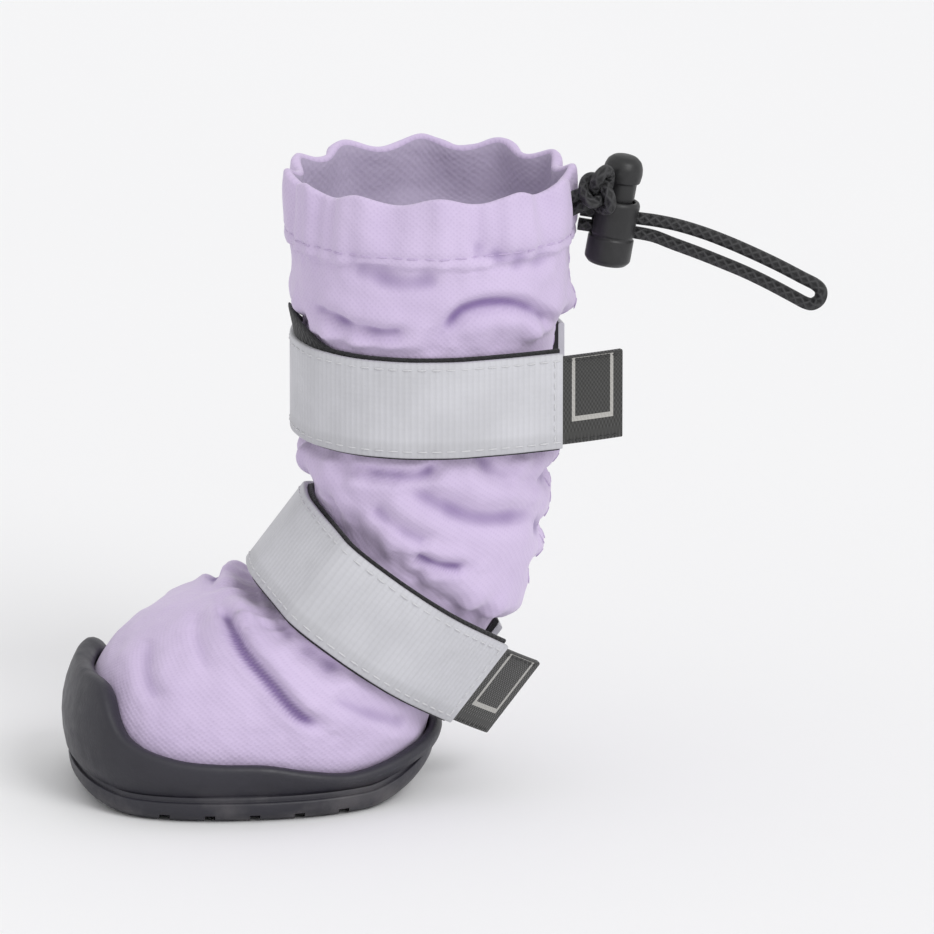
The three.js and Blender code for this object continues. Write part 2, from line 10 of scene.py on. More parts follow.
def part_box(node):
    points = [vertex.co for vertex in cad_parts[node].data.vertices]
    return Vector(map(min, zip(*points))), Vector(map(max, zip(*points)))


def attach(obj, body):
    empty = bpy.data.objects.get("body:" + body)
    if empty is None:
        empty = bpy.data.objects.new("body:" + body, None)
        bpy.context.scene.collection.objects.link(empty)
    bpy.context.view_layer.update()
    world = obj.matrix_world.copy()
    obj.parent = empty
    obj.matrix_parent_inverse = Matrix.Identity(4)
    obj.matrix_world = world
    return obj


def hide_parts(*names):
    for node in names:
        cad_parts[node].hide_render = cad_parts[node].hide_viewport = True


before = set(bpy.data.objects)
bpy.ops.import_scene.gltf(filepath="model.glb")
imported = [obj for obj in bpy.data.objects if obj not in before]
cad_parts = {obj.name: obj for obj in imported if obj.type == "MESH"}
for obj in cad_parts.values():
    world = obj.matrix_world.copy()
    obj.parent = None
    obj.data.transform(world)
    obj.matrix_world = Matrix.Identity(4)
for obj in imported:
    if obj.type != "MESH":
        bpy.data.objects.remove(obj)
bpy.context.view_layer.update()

for leftover in ("Cube", "Light", "Camera"):
    if leftover in bpy.data.objects:
        bpy.data.objects.remove(bpy.data.objects[leftover])

MM = 0.001

# Driving sizes in millimetres, the same as the solids have. The toe tip is at 0 and the toe points to -X.
SOLE_LENGTH = 58
SOLE_WIDTH = 48
INSTEP_HEIGHT = 31
BOOT_HEIGHT = 97
SHAFT_SETBACK = 56.5
SHAFT_DEPTH = 39
SHAFT_WIDTH = 38
FABRIC = 1.4
CASING_STEP = 0.8
CASING_HEIGHT = 9.5
SEAM_GAP = 0.3
RUBBER_WALL = 2.1
SOLE_PLATE = 3.8
FOXING_HEIGHT = 3.2
FOXING_STEP = 0.5
FOXING_SWELL = 0.9
SHOULDER = 1.6
TOE_BUMPER = 1.3
EDGE_ROUNDING = 2.4
TOE_SPRING = 2.6
TOE_FLAT_START = 10
HEEL_SPRING = 5
HEEL_FLAT_END = 46
TREAD_DEPTH = 1.2
TREAD_GROOVE = 1.6
TREAD_PITCH = 7
INSOLE_THICKNESS = 2
STRAP_WIDTH = 15.2
STRAP_START = 8
BACKING_MARGIN = 0.5
BACKING_THICKNESS = 0.7
FACE_THICKNESS = 0.7
ANKLE_STRAP_HEIGHT = 64.6
ANKLE_STRAP_LEAVE = 76
ANKLE_STRAP_TAIL = 15
INSTEP_STRAP_HEIGHT = 23
INSTEP_STRAP_SLOPE = 37
INSTEP_STRAP_LEAVE = 92
INSTEP_STRAP_TAIL = 11
TAIL_RADIUS = 95
ANKLE_PINCH = 0.5
INSTEP_PINCH = 2.2
INSTEP_PINCH_FULL = 22
PINCH_REACH = 1.6
PINCH_FADE = 4
TAB_LENGTH = 10
TAB_WIDTH = 14
TAB_THICKNESS = 1.1
CORD_DIAMETER = 2
LOCK_RADIUS = 3.6
LOCK_HEIGHT = 10.4
LOCK_FLOOR = 0.9
LOCK_BORE = 2.8
PLUNGER_CLEARANCE = 0.3
PLUNGER_TRAVEL = 1.6
PLUNGER_NECK = 3
PLUNGER_HEAD_RADIUS = 3.1
PLUNGER_HEAD = 4.2
LOCK_TILT = 10
LOCK_CENTRE_BEHIND_COLLAR = 5.6
LOCK_CENTRE_BELOW_COLLAR = 9.5
STRAND_SPACING = 2.3
STRAND_HEIGHT = 1.5
KNOT_WIDTH = 5.8
KNOT_HEIGHT = 8.4
KNOT_BEHIND_COLLAR = 2.8
KNOT_ASIDE = 5.4
KNOT_BELOW_COLLAR = 1.6

# The cord's route, in the lock's own frame: x away from the boot and z along the plunger.
CORD_ROUTE = [
    (-5.4, 0.35), (-3.6, 0.35), (0, 0.35), (3.6, 0.35), (6.6, 0.2), (9.8, -0.5), (13.7, -1.3),
    (17.6, -2.2), (21.6, -3.2), (25.5, -4.4), (29.5, -5.8), (31.8, -6.6), (33, -6.6), (33.9, -5.7),
    (33.9, -4.4), (32.9, -3.5), (30.6, -2.7), (26.5, -1.3), (22.5, -0.1), (18.4, 1), (14.3, 1.9),
    (10.2, 2.5), (6.6, 2.7), (3.6, 2.65), (0, 2.65), (-3.6, 2.65), (-5.4, 2.65),
]

# How finely the pieces are cut
AROUND = 240
OUTSIDE_ROWS = 280
INSIDE_ROWS = 60
SOLE_AROUND = 208
STRAP_STEPS = 220
CORD_SIDES = 16

COLUMNS = ("front", "frontZ", "back", "backZ", "width", "blunt", "heel", "taper")
FOOT_SECTIONS = [dict(zip(COLUMNS, row)) for row in (
    (0.09, 0.132, 0.922, 0.132, 0.86, 2.5, 2.2, 0.1),
    (0.055, 0.27, 0.958, 0.245, 0.925, 2.5, 2.2, 0.1),
    (0.052, 0.435, 1.01, 0.387, 0.94, 2.45, 2.2, 0.1),
    (0.083, 0.6, 1.076, 0.542, 0.935, 2.4, 2.2, 0.09),
    (0.141, 0.748, 1.145, 0.71, 0.915, 2.35, 2.2, 0.08),
    (0.221, 0.871, 1.203, 0.887, 0.88, 2.3, 2.15, 0.06),
    (0.317, 0.955, 1.245, 1.065, 0.85, 2.25, 2.1, 0.04),
    (0.417, 0.99, 1.272, 1.242, 0.825, 2.2, 2.1, 0.02),
)]
SHAFT_SECTIONS = [dict(zip(COLUMNS, row)) for row in (
    (1.37, 0.012, 0.93, 0.2, 1.02, 2.15, 2.1, 0),
    (1.18, 0.066, 0.95, 0.28, 1.01, 2.1, 2.1, 0),
    (1.065, 0.152, 0.965, 0.355, 1.005, 2.1, 2.1, 0),
    (1.01, 0.265, 0.985, 0.437, 1.005, 2.1, 2.1, 0),
    (0.99, 0.392, 1.0, 0.52, 1.01, 2.1, 2.1, 0),
    (1.0, 0.52, 1.03, 0.615, 1.02, 2.1, 2.1, 0),
    (1.03, 0.64, 1.08, 0.71, 1.05, 2.1, 2.1, 0),
    (1.08, 0.76, 1.12, 0.805, 1.09, 2.1, 2.1, 0),
    (1.1, 0.88, 1.13, 0.905, 1.11, 2.1, 2.1, 0),
    (1.07, 1.0, 1.1, 1.0, 1.08, 2.1, 2.1, 0),
)]
SHAFT_RISE = BOOT_HEIGHT - INSTEP_HEIGHT


def foot_row(s):
    return dict(
        s,
        front=s["front"] * SOLE_LENGTH,
        frontZ=s["frontZ"] * INSTEP_HEIGHT,
        back=s["back"] * SOLE_LENGTH,
        backZ=s["backZ"] * INSTEP_HEIGHT,
        width=s["width"] * SOLE_WIDTH / 2,
    )


def shaft_row(s):
    return dict(
        s,
        front=SHAFT_SETBACK - s["front"] * SHAFT_DEPTH / 2,
        frontZ=INSTEP_HEIGHT + s["frontZ"] * SHAFT_RISE,
        back=SHAFT_SETBACK + s["back"] * SHAFT_DEPTH / 2,
        backZ=INSTEP_HEIGHT + s["backZ"] * SHAFT_RISE,
        width=s["width"] * SHAFT_WIDTH / 2,
    )


SECTIONS = [foot_row(s) for s in FOOT_SECTIONS] + [shaft_row(s) for s in SHAFT_SECTIONS]

# The rim of the rubber cup, from the toe round to the heel, as shares of the instep's height
RIM = [{"height": h} for h in (
    0.605, 0.61, 0.59, 0.4, 0.326, 0.303, 0.294, 0.252, 0.219, 0.245, 0.3, 0.319, 0.323,
)]


def smooth(low, high, x):
    t = np.clip((x - low) / (high - low), 0, 1)
    return t * t * (3 - 2 * t)


def lerp(a, b, t):
    return a + (b - a) * t


def unit(v):
    return v / np.linalg.norm(v, axis=-1, keepdims=True)


def spline(values, share):
    """Values at shares of the way along a smooth curve through a list."""
    values = np.array(values, float)
    last = len(values) - 1
    place = np.clip(np.asarray(share, float), 0, 1) * last
    i = np.minimum(place.astype(int), last - 1)
    t = (place - i).reshape(place.shape + (1,) * (values.ndim - 1))
    a, b, c, d = (values[np.clip(i + k, 0, last)] for k in (-1, 0, 1, 2))
    return b + 0.5 * t * (c - a + t * (2 * a - 5 * b + 4 * c - d + t * (3 * (b - c) + d - a)))


def column(rows, name, share):
    return spline([row[name] for row in rows], share)


def curve_through(points, count):
    return spline(points, np.linspace(0, 1, count))


def grid(*axes):
    return np.meshgrid(*axes, indexing="ij")


def run_along(path):
    """The distance along a path at each of its points."""
    return np.concatenate([[0], np.cumsum(np.linalg.norm(np.diff(path, axis=0), axis=1))])


def ring_places(rings):
    """The mean distance along a sheet at each of its rings."""
    steps = np.linalg.norm(np.diff(rings, axis=0), axis=2).mean(1)
    return np.concatenate([[0], np.cumsum(steps)])


# The last and the outside of the upper
def last_point(share, angle):
    share, angle = np.broadcast_arrays(np.asarray(share, float), np.asarray(angle, float))
    front, back = column(SECTIONS, "front", share), column(SECTIONS, "back", share)
    power = lerp(column(SECTIONS, "heel", share), column(SECTIONS, "blunt", share), (1 - np.cos(angle)) / 2)
    c, s = np.cos(angle), np.sin(angle)
    radius = (np.abs(c) ** power + np.abs(s) ** power) ** (-1 / power)
    along = radius * c
    x = (front + back) / 2 + along * (back - front) / 2
    y = radius * s * column(SECTIONS, "width", share) * (1 - column(SECTIONS, "taper", share) * along)
    z = lerp(column(SECTIONS, "frontZ", share), column(SECTIONS, "backZ", share), (1 + along) / 2)
    return np.stack([x, y, z], -1)


def normal_of(surface, share, angle):
    step = 0.004
    share = np.asarray(share, float)
    up = surface(np.minimum(1, share + step), angle) - surface(np.maximum(0, share - step), angle)
    around = surface(share, angle + step) - surface(share, angle - step)
    return unit(np.cross(around, up))


class StrapPlane:
    """The plane that a strap lies in: its middle, the way towards the back and the way across its width."""

    def __init__(self, height, slope):
        tilt = math.radians(slope)
        self.middle = np.array([SHAFT_SETBACK, 0, height], float)
        self.back = np.array([math.cos(tilt), 0, -math.sin(tilt)])
        self.across = np.array([math.sin(tilt), 0, math.cos(tilt)])

    def off(self, points):
        return (points - self.middle) @ self.across

    def beside(self, points):
        return np.abs(self.off(points)) - STRAP_WIDTH / 2


ANKLE = StrapPlane(ANKLE_STRAP_HEIGHT, 0)
INSTEP = StrapPlane(INSTEP_STRAP_HEIGHT, INSTEP_STRAP_SLOPE)


def pinch(plane, depth, points):
    return -depth * (1 - smooth(0, PINCH_FADE, plane.beside(points) - PINCH_REACH))


GATHERS = 12
GATHER_DEPTH = 0.8
SCALLOP_REACH = 3


def gather(angle, z):
    pull = smooth(BOOT_HEIGHT - 1.6 * CASING_HEIGHT, BOOT_HEIGHT, z)
    return GATHER_DEPTH * pull * np.cos(GATHERS * angle + 0.9 * np.sin(2 * angle))


def upper_surface(share, angle):
    p = last_point(share, angle)
    normal = normal_of(last_point, share, angle)
    z = p[..., 2]
    step = CASING_STEP * smooth(BOOT_HEIGHT - CASING_HEIGHT - 0.8, BOOT_HEIGHT - CASING_HEIGHT, z)
    press = pinch(ANKLE, ANKLE_PINCH, p) + pinch(INSTEP, INSTEP_PINCH, p) * smooth(0, INSTEP_PINCH_FULL, z)
    fold = gather(angle, z)
    p = p + normal * (step + press + fold)[..., None]
    p[..., 2] += fold * 0.8 * smooth(BOOT_HEIGHT - SCALLOP_REACH, BOOT_HEIGHT, p[..., 2])
    return p


def upper_wall(share, angle, outward):
    normal = normal_of(upper_surface, share, angle)
    return upper_surface(share, angle) + normal * np.asarray(outward, float)[..., None]


def share_at(angle, z, low=0.0, high=0.6):
    angle, z = np.broadcast_arrays(np.asarray(angle, float), np.asarray(z, float))
    low, high = np.full(z.shape, low), np.full(z.shape, high)
    for _ in range(24):
        middle = (low + high) / 2
        under = last_point(middle, angle)[..., 2] < z
        low, high = np.where(under, middle, low), np.where(under, high, middle)
    return (low + high) / 2


def from_toe(angle):
    return np.arccos(np.clip(-np.cos(angle), -1, 1)) / math.pi


def rim_height(angle):
    return INSTEP_HEIGHT * column(RIM, "height", from_toe(angle))


# The solids' frame has its origin under the boot's middle, so the toe tip lies this far back from it.
coarse_share, coarse_angle = grid(np.linspace(0, 1, 30), np.linspace(0, 2 * math.pi, 53))
shift_x = upper_surface(coarse_share, coarse_angle)[..., 0].min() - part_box("upper")[0].x / MM


def to_row(points):
    return (np.asarray(points, float) - (shift_x, 0, 0)) * MM


def collar_back():
    return upper_surface(1.0, 0.0)


def lock_to_shoe(points):
    """Points of the lock's own frame in the shoe's frame."""
    c, s = math.cos(math.radians(LOCK_TILT)), math.sin(math.radians(LOCK_TILT))
    x, y, z = np.moveaxis(np.asarray(points, float), -1, 0)
    centre = (collar_back()[0] + LOCK_CENTRE_BEHIND_COLLAR, 0, BOOT_HEIGHT - LOCK_CENTRE_BELOW_COLLAR)
    return np.stack([x * c + z * s, y, z * c - x * s], -1) + centre


# Camera
VIEW_AZIMUTH = -4
VIEW_ELEVATION = 15
VIEW_TARGET = Vector((0.020, 0, 0.050))
VIEW_DISTANCE = 2.2
VIEW_WIDTH = 0.1455
SENSOR = 36


def add_camera():
    azimuth, elevation = math.radians(VIEW_AZIMUTH), math.radians(VIEW_ELEVATION)
    back = Vector((
        math.sin(azimuth) * math.cos(elevation),
        -math.cos(azimuth) * math.cos(elevation),
        math.sin(elevation),
    ))
    data = bpy.data.cameras.new("view")
    data.sensor_width = SENSOR
    data.lens = SENSOR * VIEW_DISTANCE / VIEW_WIDTH
    data.clip_end = 50
    camera = bpy.data.objects.new("view", data)
    camera.location = VIEW_TARGET + back * VIEW_DISTANCE
    camera.rotation_euler = back.to_track_quat("Z", "Y").to_euler()
    bpy.context.scene.collection.objects.link(camera)
    bpy.context.scene.camera = camera


add_camera()


# Node helpers
def feed(tree, made, inputs):
    """Links a node's inputs to sockets, and sets those that are plain values."""
    for name, value in inputs.items():
        if isinstance(value, bpy.types.NodeSocket):
            tree.links.new(value, made.inputs[name])
        else:
            made.inputs[name].default_value = value


def node(tree, kind, inputs=None, **settings):
    made = tree.nodes.new(kind)
    for name, value in settings.items():
        setattr(made, name, value)
    feed(tree, made, inputs or {})
    return made


def math_node(tree, operation, a, b=0.0):
    return node(tree, "ShaderNodeMath", {0: a, 1: b}, operation=operation).outputs[0]


def mix_colour(tree, factor, a, b, blend="MIX"):
    made = node(tree, "ShaderNodeMix", {0: factor, 6: a, 7: b}, data_type="RGBA", blend_type=blend)
    return made.outputs[2]


def ramp(tree, value, low, high):
    """A value taken from low and high to 0 and 1."""
    made = node(tree, "ShaderNodeMapRange", {"Value": value, "From Min": low, "From Max": high})
    return made.outputs["Result"]


def noise_at(tree, place, scale, detail=2.0):
    made = node(tree, "ShaderNodeTexNoise", {"Vector": place, "Scale": scale, "Detail": detail})
    return made.outputs["Fac"]


def bump(tree, height, distance, normal=None):
    inputs = {"Height": height, "Distance": distance, "Strength": 1.0}
    if normal is not None:
        inputs["Normal"] = normal
    return node(tree, "ShaderNodeBump", inputs).outputs["Normal"]


def uv_parts(tree):
    uv = node(tree, "ShaderNodeUVMap", uv_map="place")
    parts = node(tree, "ShaderNodeSeparateXYZ", {0: uv.outputs[0]})
    return parts.outputs[0], parts.outputs[1]


def weave(tree, pitch_along, pitch_across):
    """The height of a plain weave whose threads lie a pitch apart, in millimetres."""
    u, v = uv_parts(tree)
    warp = math_node(tree, "SINE", math_node(tree, "MULTIPLY", u, math.pi / pitch_along))
    weft = math_node(tree, "SINE", math_node(tree, "MULTIPLY", v, math.pi / pitch_across))
    return math_node(tree, "MULTIPLY", warp, weft)


def new_material(name):
    made = bpy.data.materials.new(name)
    made.use_nodes = True
    tree = made.node_tree
    shader = tree.nodes["Principled BSDF"]
    place = node(tree, "ShaderNodeTexCoord").outputs["Object"]
    return made, tree, shader, place


def wire(tree, shader, colour, normal, roughness, more=None):
    inputs = {"Base Color": colour, "Roughness": roughness, **(more or {})}
    if normal is not None:
        inputs["Normal"] = normal
    feed(tree, shader, inputs)


def cloth_material(name, light, shade, pitch, sheen=0.25):
    made, tree, shader, place = new_material(name)
    fold = node(tree, "ShaderNodeAttribute", attribute_name="fold").outputs["Fac"]
    mottle = ramp(tree, noise_at(tree, place, 110, 3), 0.35, 0.75)
    soft = mix_colour(tree, math_node(tree, "MULTIPLY", mottle, 0.12), (*light, 1), (*shade, 1))
    # Painted shade: the colour is darkened towards the shade tone where the "fold" attribute marks a crease's
    # trough.
    colour = mix_colour(tree, fold, soft, (*shade, 1))
    thread = weave(tree, pitch, pitch)
    colour = mix_colour(tree, ramp(tree, thread, 0.3, 6), colour, (*shade, 1))
    rumple = noise_at(tree, place, 260, 3)
    normal = bump(tree, rumple, 0.00035)
    normal = bump(tree, thread, 0.000018, normal)
    sheen_inputs = {"Sheen Weight": sheen, "Sheen Roughness": 0.45}
    wire(tree, shader, colour, normal, 0.78, {"Specular IOR Level": 0.3, **sheen_inputs})
    return made


def rubber_material():
    made, tree, shader, place = new_material("moulded_rubber")
    height = node(tree, "ShaderNodeSeparateXYZ", {0: place}).outputs[2]
    low = math_node(tree, "SUBTRACT", 1.0, ramp(tree, height, 0.0, 0.006))
    patches = ramp(tree, noise_at(tree, place, 150, 5), 0.45, 0.7)
    dust = math_node(tree, "MULTIPLY", math_node(tree, "MULTIPLY", low, patches), 0.55)
    base = mix_colour(
        tree, ramp(tree, noise_at(tree, place, 60, 2), 0.3, 0.7),
        (0.017, 0.016, 0.023, 1), (0.025, 0.024, 0.034, 1),
    )
    colour = mix_colour(tree, dust, base, (0.16, 0.15, 0.15, 1))
    grain = noise_at(tree, place, 2600, 2)
    scuff = noise_at(tree, place, 420, 4)
    roughness = ramp(tree, scuff, -1.1, 2.2)
    normal = bump(tree, grain, 0.00004)
    normal = bump(tree, scuff, 0.00008, normal)
    wire(tree, shader, colour, normal, roughness)
    return made


def webbing_material(name, light, shade):
    made, tree, shader, place = new_material(name)
    thread = weave(tree, 0.55, 0.8)
    lint = ramp(tree, noise_at(tree, place, 900, 3), 0.5, 0.9)
    colour = mix_colour(tree, ramp(tree, thread, -1, 1), (*shade, 1), (*light, 1))
    colour = mix_colour(tree, math_node(tree, "MULTIPLY", lint, 0.25), colour, (0.09, 0.09, 0.1, 1))
    wire(tree, shader, colour, bump(tree, thread, 0.00008), 0.9, {"Sheen Weight": 0.1})
    return made


TAPE_RIB = 0.9


def tape_material():
    """Grey reflective tape: a satin face with fine ribs across it and glass beads."""
    made, tree, shader, place = new_material("reflective_tape")
    u, v = uv_parts(tree)
    ribs, cross = (
        math_node(tree, "SINE", math_node(tree, "MULTIPLY", way, 2 * math.pi / TAPE_RIB)) for way in (u, v)
    )
    beads = noise_at(tree, place, 5200, 1)
    worn = ramp(tree, noise_at(tree, place, 130, 4), 0.35, 0.75)
    colour = mix_colour(tree, worn, (0.57, 0.57, 0.605, 1), (0.5, 0.5, 0.53, 1))
    colour = mix_colour(tree, ramp(tree, ribs, 0.2, 5), colour, (0.38, 0.38, 0.39, 1))
    edge = ramp(tree, math_node(tree, "ABSOLUTE", v), STRAP_WIDTH / 2 - TAPE_RIB, STRAP_WIDTH / 2 + 0.2)
    colour = mix_colour(tree, math_node(tree, "MULTIPLY", edge, 0.35), colour, (0.3, 0.3, 0.31, 1))
    normal = bump(tree, ribs, 0.00002)
    normal = bump(tree, cross, 0.000006, normal)
    normal = bump(tree, beads, 0.00003, normal)
    wire(tree, shader, colour, normal, 0.5, {"Specular IOR Level": 0.4})
    return made


def tag_material():
    """A black woven tag with a plain pale frame woven inside its edge."""
    made, tree, shader, place = new_material("woven_tag")
    u, v = uv_parts(tree)
    inset = 1.7
    line = 0.28
    from_end, from_side = (
        math_node(tree, "SUBTRACT", size / 2 - inset, math_node(tree, "ABSOLUTE", way))
        for size, way in ((TAB_LENGTH, u), (TAB_WIDTH, v))
    )
    off_line = math_node(tree, "ABSOLUTE", math_node(tree, "MINIMUM", from_end, from_side))
    frame_line = math_node(tree, "LESS_THAN", off_line, line)
    thread = weave(tree, 0.3, 0.42)
    base = mix_colour(tree, ramp(tree, thread, -1, 1), (0.026, 0.026, 0.025, 1), (0.06, 0.06, 0.058, 1))
    colour = mix_colour(tree, frame_line, base, (0.42, 0.41, 0.39, 1))
    normal = bump(tree, thread, 0.00007)
    normal = bump(tree, frame_line, 0.00008, normal)
    wire(tree, shader, colour, normal, 0.85, {"Sheen Weight": 0.15})
    return made


def plastic_material():
    made, tree, shader, place = new_material("lock_plastic_satin")
    worn = noise_at(tree, place, 700, 4)
    colour = mix_colour(tree, ramp(tree, worn, 0.4, 0.8), (0.011, 0.011, 0.012, 1), (0.02, 0.02, 0.021, 1))
    normal = bump(tree, noise_at(tree, place, 3000, 2), 0.00002)
    wire(tree, shader, colour, normal, ramp(tree, worn, -0.6, 1.9))
    return made


def cord_material():
    """Braided elastic: strands that cross round the cord."""
    made, tree, shader, _ = new_material("braided_elastic")
    u, v = uv_parts(tree)
    strands = 4
    pitch = 1.7
    angle = math_node(tree, "MULTIPLY", v, 2 * strands / CORD_DIAMETER)
    along = math_node(tree, "MULTIPLY", u, 2 * math.pi / pitch)
    one = math_node(tree, "SINE", math_node(tree, "ADD", along, angle))
    two = math_node(tree, "SINE", math_node(tree, "SUBTRACT", along, angle))
    braid = math_node(tree, "MAXIMUM", one, two)
    colour = mix_colour(tree, ramp(tree, braid, -0.6, 1), (0.008, 0.008, 0.009, 1), (0.03, 0.03, 0.032, 1))
    wire(tree, shader, colour, bump(tree, braid, 0.00016), 0.6)
    return made


def thread_material(name, light, shade):
    made, tree, shader, place = new_material(name)
    twist = noise_at(tree, place, 4200, 2)
    colour = mix_colour(tree, twist, (*shade, 1), (*light, 1))
    wire(tree, shader, colour, bump(tree, twist, 0.00005), 0.7)
    return made


def floor_material():
    made, tree, shader, place = new_material("pale_floor")
    cloud = noise_at(tree, place, 3, 2)
    colour = mix_colour(tree, cloud, (0.86, 0.86, 0.87, 1), (0.89, 0.89, 0.9, 1))
    wire(tree, shader, colour, None, 0.7, {"Specular IOR Level": 0.2})
    return made


LAVENDER = (0.605, 0.505, 0.705)
# The darker tone for the cloth's mottle and weave, and the painted shade in its creases.
LAVENDER_SHADE = (0.23, 0.16, 0.34)
cloth = cloth_material("lavender_cloth", LAVENDER, LAVENDER_SHADE, 0.42)
lining = cloth_material("lining_cloth", (0.5, 0.44, 0.58), (0.3, 0.25, 0.37), 0.6, 0.1)
insole_cloth = cloth_material("insole_cloth_dark", (0.12, 0.11, 0.13), (0.05, 0.045, 0.055), 0.7, 0.1)
rubber = rubber_material()
webbing = webbing_material("black_webbing", (0.026, 0.026, 0.028), (0.009, 0.009, 0.01))
tape = tape_material()
tag_cloth = tag_material()
plastic = plastic_material()
braid = cord_material()
lavender_thread = thread_material("lavender_thread", (0.58, 0.48, 0.68), (0.44, 0.35, 0.54))
grey_thread = thread_material("grey_thread", (0.64, 0.64, 0.66), (0.52, 0.52, 0.54))
black_thread = thread_material("black_thread", (0.05, 0.05, 0.05), (0.02, 0.02, 0.02))


# Mesh helpers
def face_outwards(mesh):
    work = bmesh.new()
    work.from_mesh(mesh)
    bmesh.ops.recalc_face_normals(work, faces=work.faces)
    work.to_mesh(mesh)
    work.free()


def link_mesh(name, mesh, materials):
    for item in materials:
        mesh.materials.append(item)
    piece = bpy.data.objects.new(name, mesh)
    bpy.context.scene.collection.objects.link(piece)
    return piece


def grid_mesh(name, rows, row_place, column_place, materials, caps=False, closed=False):
    """A sheet of rings. The places give the rings' and the columns' millimetres for the weave."""
    count, around = rows.shape[:2]
    last = count if closed else count - 1
    i, k = grid(np.arange(last), np.arange(around))
    j, m = (i + 1) % count, (k + 1) % around
    quads = np.stack([i * around + k, i * around + m, j * around + m, j * around + k], -1).reshape(-1, 4)
    faces = quads.tolist()
    if caps:
        faces.append(list(range(around))[::-1])
        faces.append(list(range((count - 1) * around, count * around)))
    mesh = bpy.data.meshes.new(name)
    mesh.from_pydata(to_row(rows.reshape(-1, 3)).tolist(), [], faces)
    mesh.update()
    row_place = np.append(row_place, row_place[-1])
    u = np.stack([column_place[k], column_place[k + 1], column_place[k + 1], column_place[k]], -1)
    v = np.stack([row_place[i], row_place[i], row_place[i + 1], row_place[i + 1]], -1)
    uv = np.zeros((len(mesh.loops), 2))
    uv[: quads.size] = np.stack([u.reshape(-1), v.reshape(-1)], -1)
    mesh.uv_layers.new(name="place").data.foreach_set("uv", uv.reshape(-1))
    mesh.shade_smooth()
    face_outwards(mesh)
    return link_mesh(name, mesh, materials)


def sharpen(piece, degrees=38):
    """Keeps edges crisp where faces meet at more than an angle."""
    work = bmesh.new()
    work.from_mesh(piece.data)
    for edge in work.edges:
        if len(edge.link_faces) == 2:
            edge.smooth = edge.calc_face_angle(0) < math.radians(degrees)
    work.to_mesh(piece.data)
    work.free()


def apply_modifiers(piece):
    evaluated = piece.evaluated_get(bpy.context.evaluated_depsgraph_get())
    mesh = bpy.data.meshes.new_from_object(evaluated)
    piece.modifiers.clear()
    piece.data = mesh


def cut_with(piece, cutters):
    for cutter in cutters:
        boolean = piece.modifiers.new("cut", "BOOLEAN")
        boolean.operation = "DIFFERENCE"
        boolean.solver = "MANIFOLD"
        boolean.object = cutter
    apply_modifiers(piece)
    for cutter in cutters:
        bpy.data.objects.remove(cutter)


def box_cutter(centre, size, to_shoe=lambda points: points):
    corners = np.array([(x, y, z) for x in (-0.5, 0.5) for y in (-0.5, 0.5) for z in (-0.5, 0.5)])
    faces = [(0, 1, 3, 2), (4, 6, 7, 5), (0, 4, 5, 1), (2, 3, 7, 6), (0, 2, 6, 4), (1, 5, 7, 3)]
    mesh = bpy.data.meshes.new("cutter")
    mesh.from_pydata(to_row(to_shoe(corners * size + centre)).tolist(), [], faces)
    face_outwards(mesh)
    return link_mesh("cutter", mesh, [])


def dress(piece, slot, *nodes, body="boot"):
    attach(piece, body)
    if nodes:
        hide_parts(*nodes)
    return piece


def swap_places(piece):
    """Turns the places for the weave, so that the first one runs along a tube or a band."""
    layer = piece.data.uv_layers["place"].data
    flat = np.zeros(len(layer) * 2)
    layer.foreach_get("uv", flat)
    layer.foreach_set("uv", flat.reshape(-1, 2)[:, ::-1].reshape(-1))
    return piece


def tube_rings(path, radius, sides, closed=False):
    """Rings round a path, turned as little as possible from one to the next."""
    path = np.asarray(path, float)
    ahead = np.roll(path, -1, 0) - np.roll(path, 1, 0)
    if not closed:
        ahead[0], ahead[-1] = path[1] - path[0], path[-1] - path[-2]
    ahead = unit(ahead)
    side = np.cross(ahead[0], (0, 1, 0.001))
    side = side / np.linalg.norm(side)
    turns = 2 * math.pi * np.arange(sides) / sides
    rings = []
    for place, forward in zip(path, ahead):
        side = side - forward * (side @ forward)
        side = side / np.linalg.norm(side)
        other = np.cross(forward, side)
        rings.append(place + radius * (np.outer(np.cos(turns), side) + np.outer(np.sin(turns), other)))
    return np.array(rings)


def tube(name, path, radius, sides, materials, closed=False):
    rings = tube_rings(path, radius, sides, closed)
    girth = 2 * math.pi * radius * np.arange(sides + 1) / sides
    piece = grid_mesh(name, rings, run_along(path), girth, materials, caps=not closed, closed=closed)
    return swap_places(piece)


def stitches(name, places, along, off, length, thickness, material):
    """Small rounded stitches joined into one mesh."""
    sides, profile = 6, ((-0.5, 0.25), (-0.4, 0.8), (0, 1), (0.4, 0.8), (0.5, 0.25))
    side = unit(np.cross(off, along))
    verts, faces = [], []
    for p, a, o, s in zip(places, along, off, side):
        start = len(verts)
        for reach, fat in profile:
            dip = thickness * (0.15 - 0.9 * abs(reach) ** 2)
            for i in range(sides):
                turn = 2 * math.pi * i / sides
                ring = (s * math.cos(turn) + o * math.sin(turn)) * thickness / 2 * fat
                verts.append(p + a * reach * length + o * dip + ring)
        for j in range(len(profile) - 1):
            for i in range(sides):
                n = (i + 1) % sides
                here, above = start + j * sides, start + (j + 1) * sides
                faces.append((here + i, here + n, above + n, above + i))
        faces.append([start + i for i in range(sides)][::-1])
        faces.append([start + (len(profile) - 1) * sides + i for i in range(sides)])
    mesh = bpy.data.meshes.new(name)
    mesh.from_pydata(to_row(np.array(verts)).tolist(), [], faces)
    mesh.shade_smooth()
    face_outwards(mesh)
    return link_mesh(name, mesh, [material])


# Cord: first the route that it follows through the lock and back
route = curve_through([(x, 0, z) for x, z in CORD_ROUTE], 300)
route = lock_to_shoe(route)
elastic_loop = tube("elastic_loop", route, CORD_DIAMETER / 2, CORD_SIDES, [braid])
dress(elastic_loop, "elastic_cord", "drawcord")


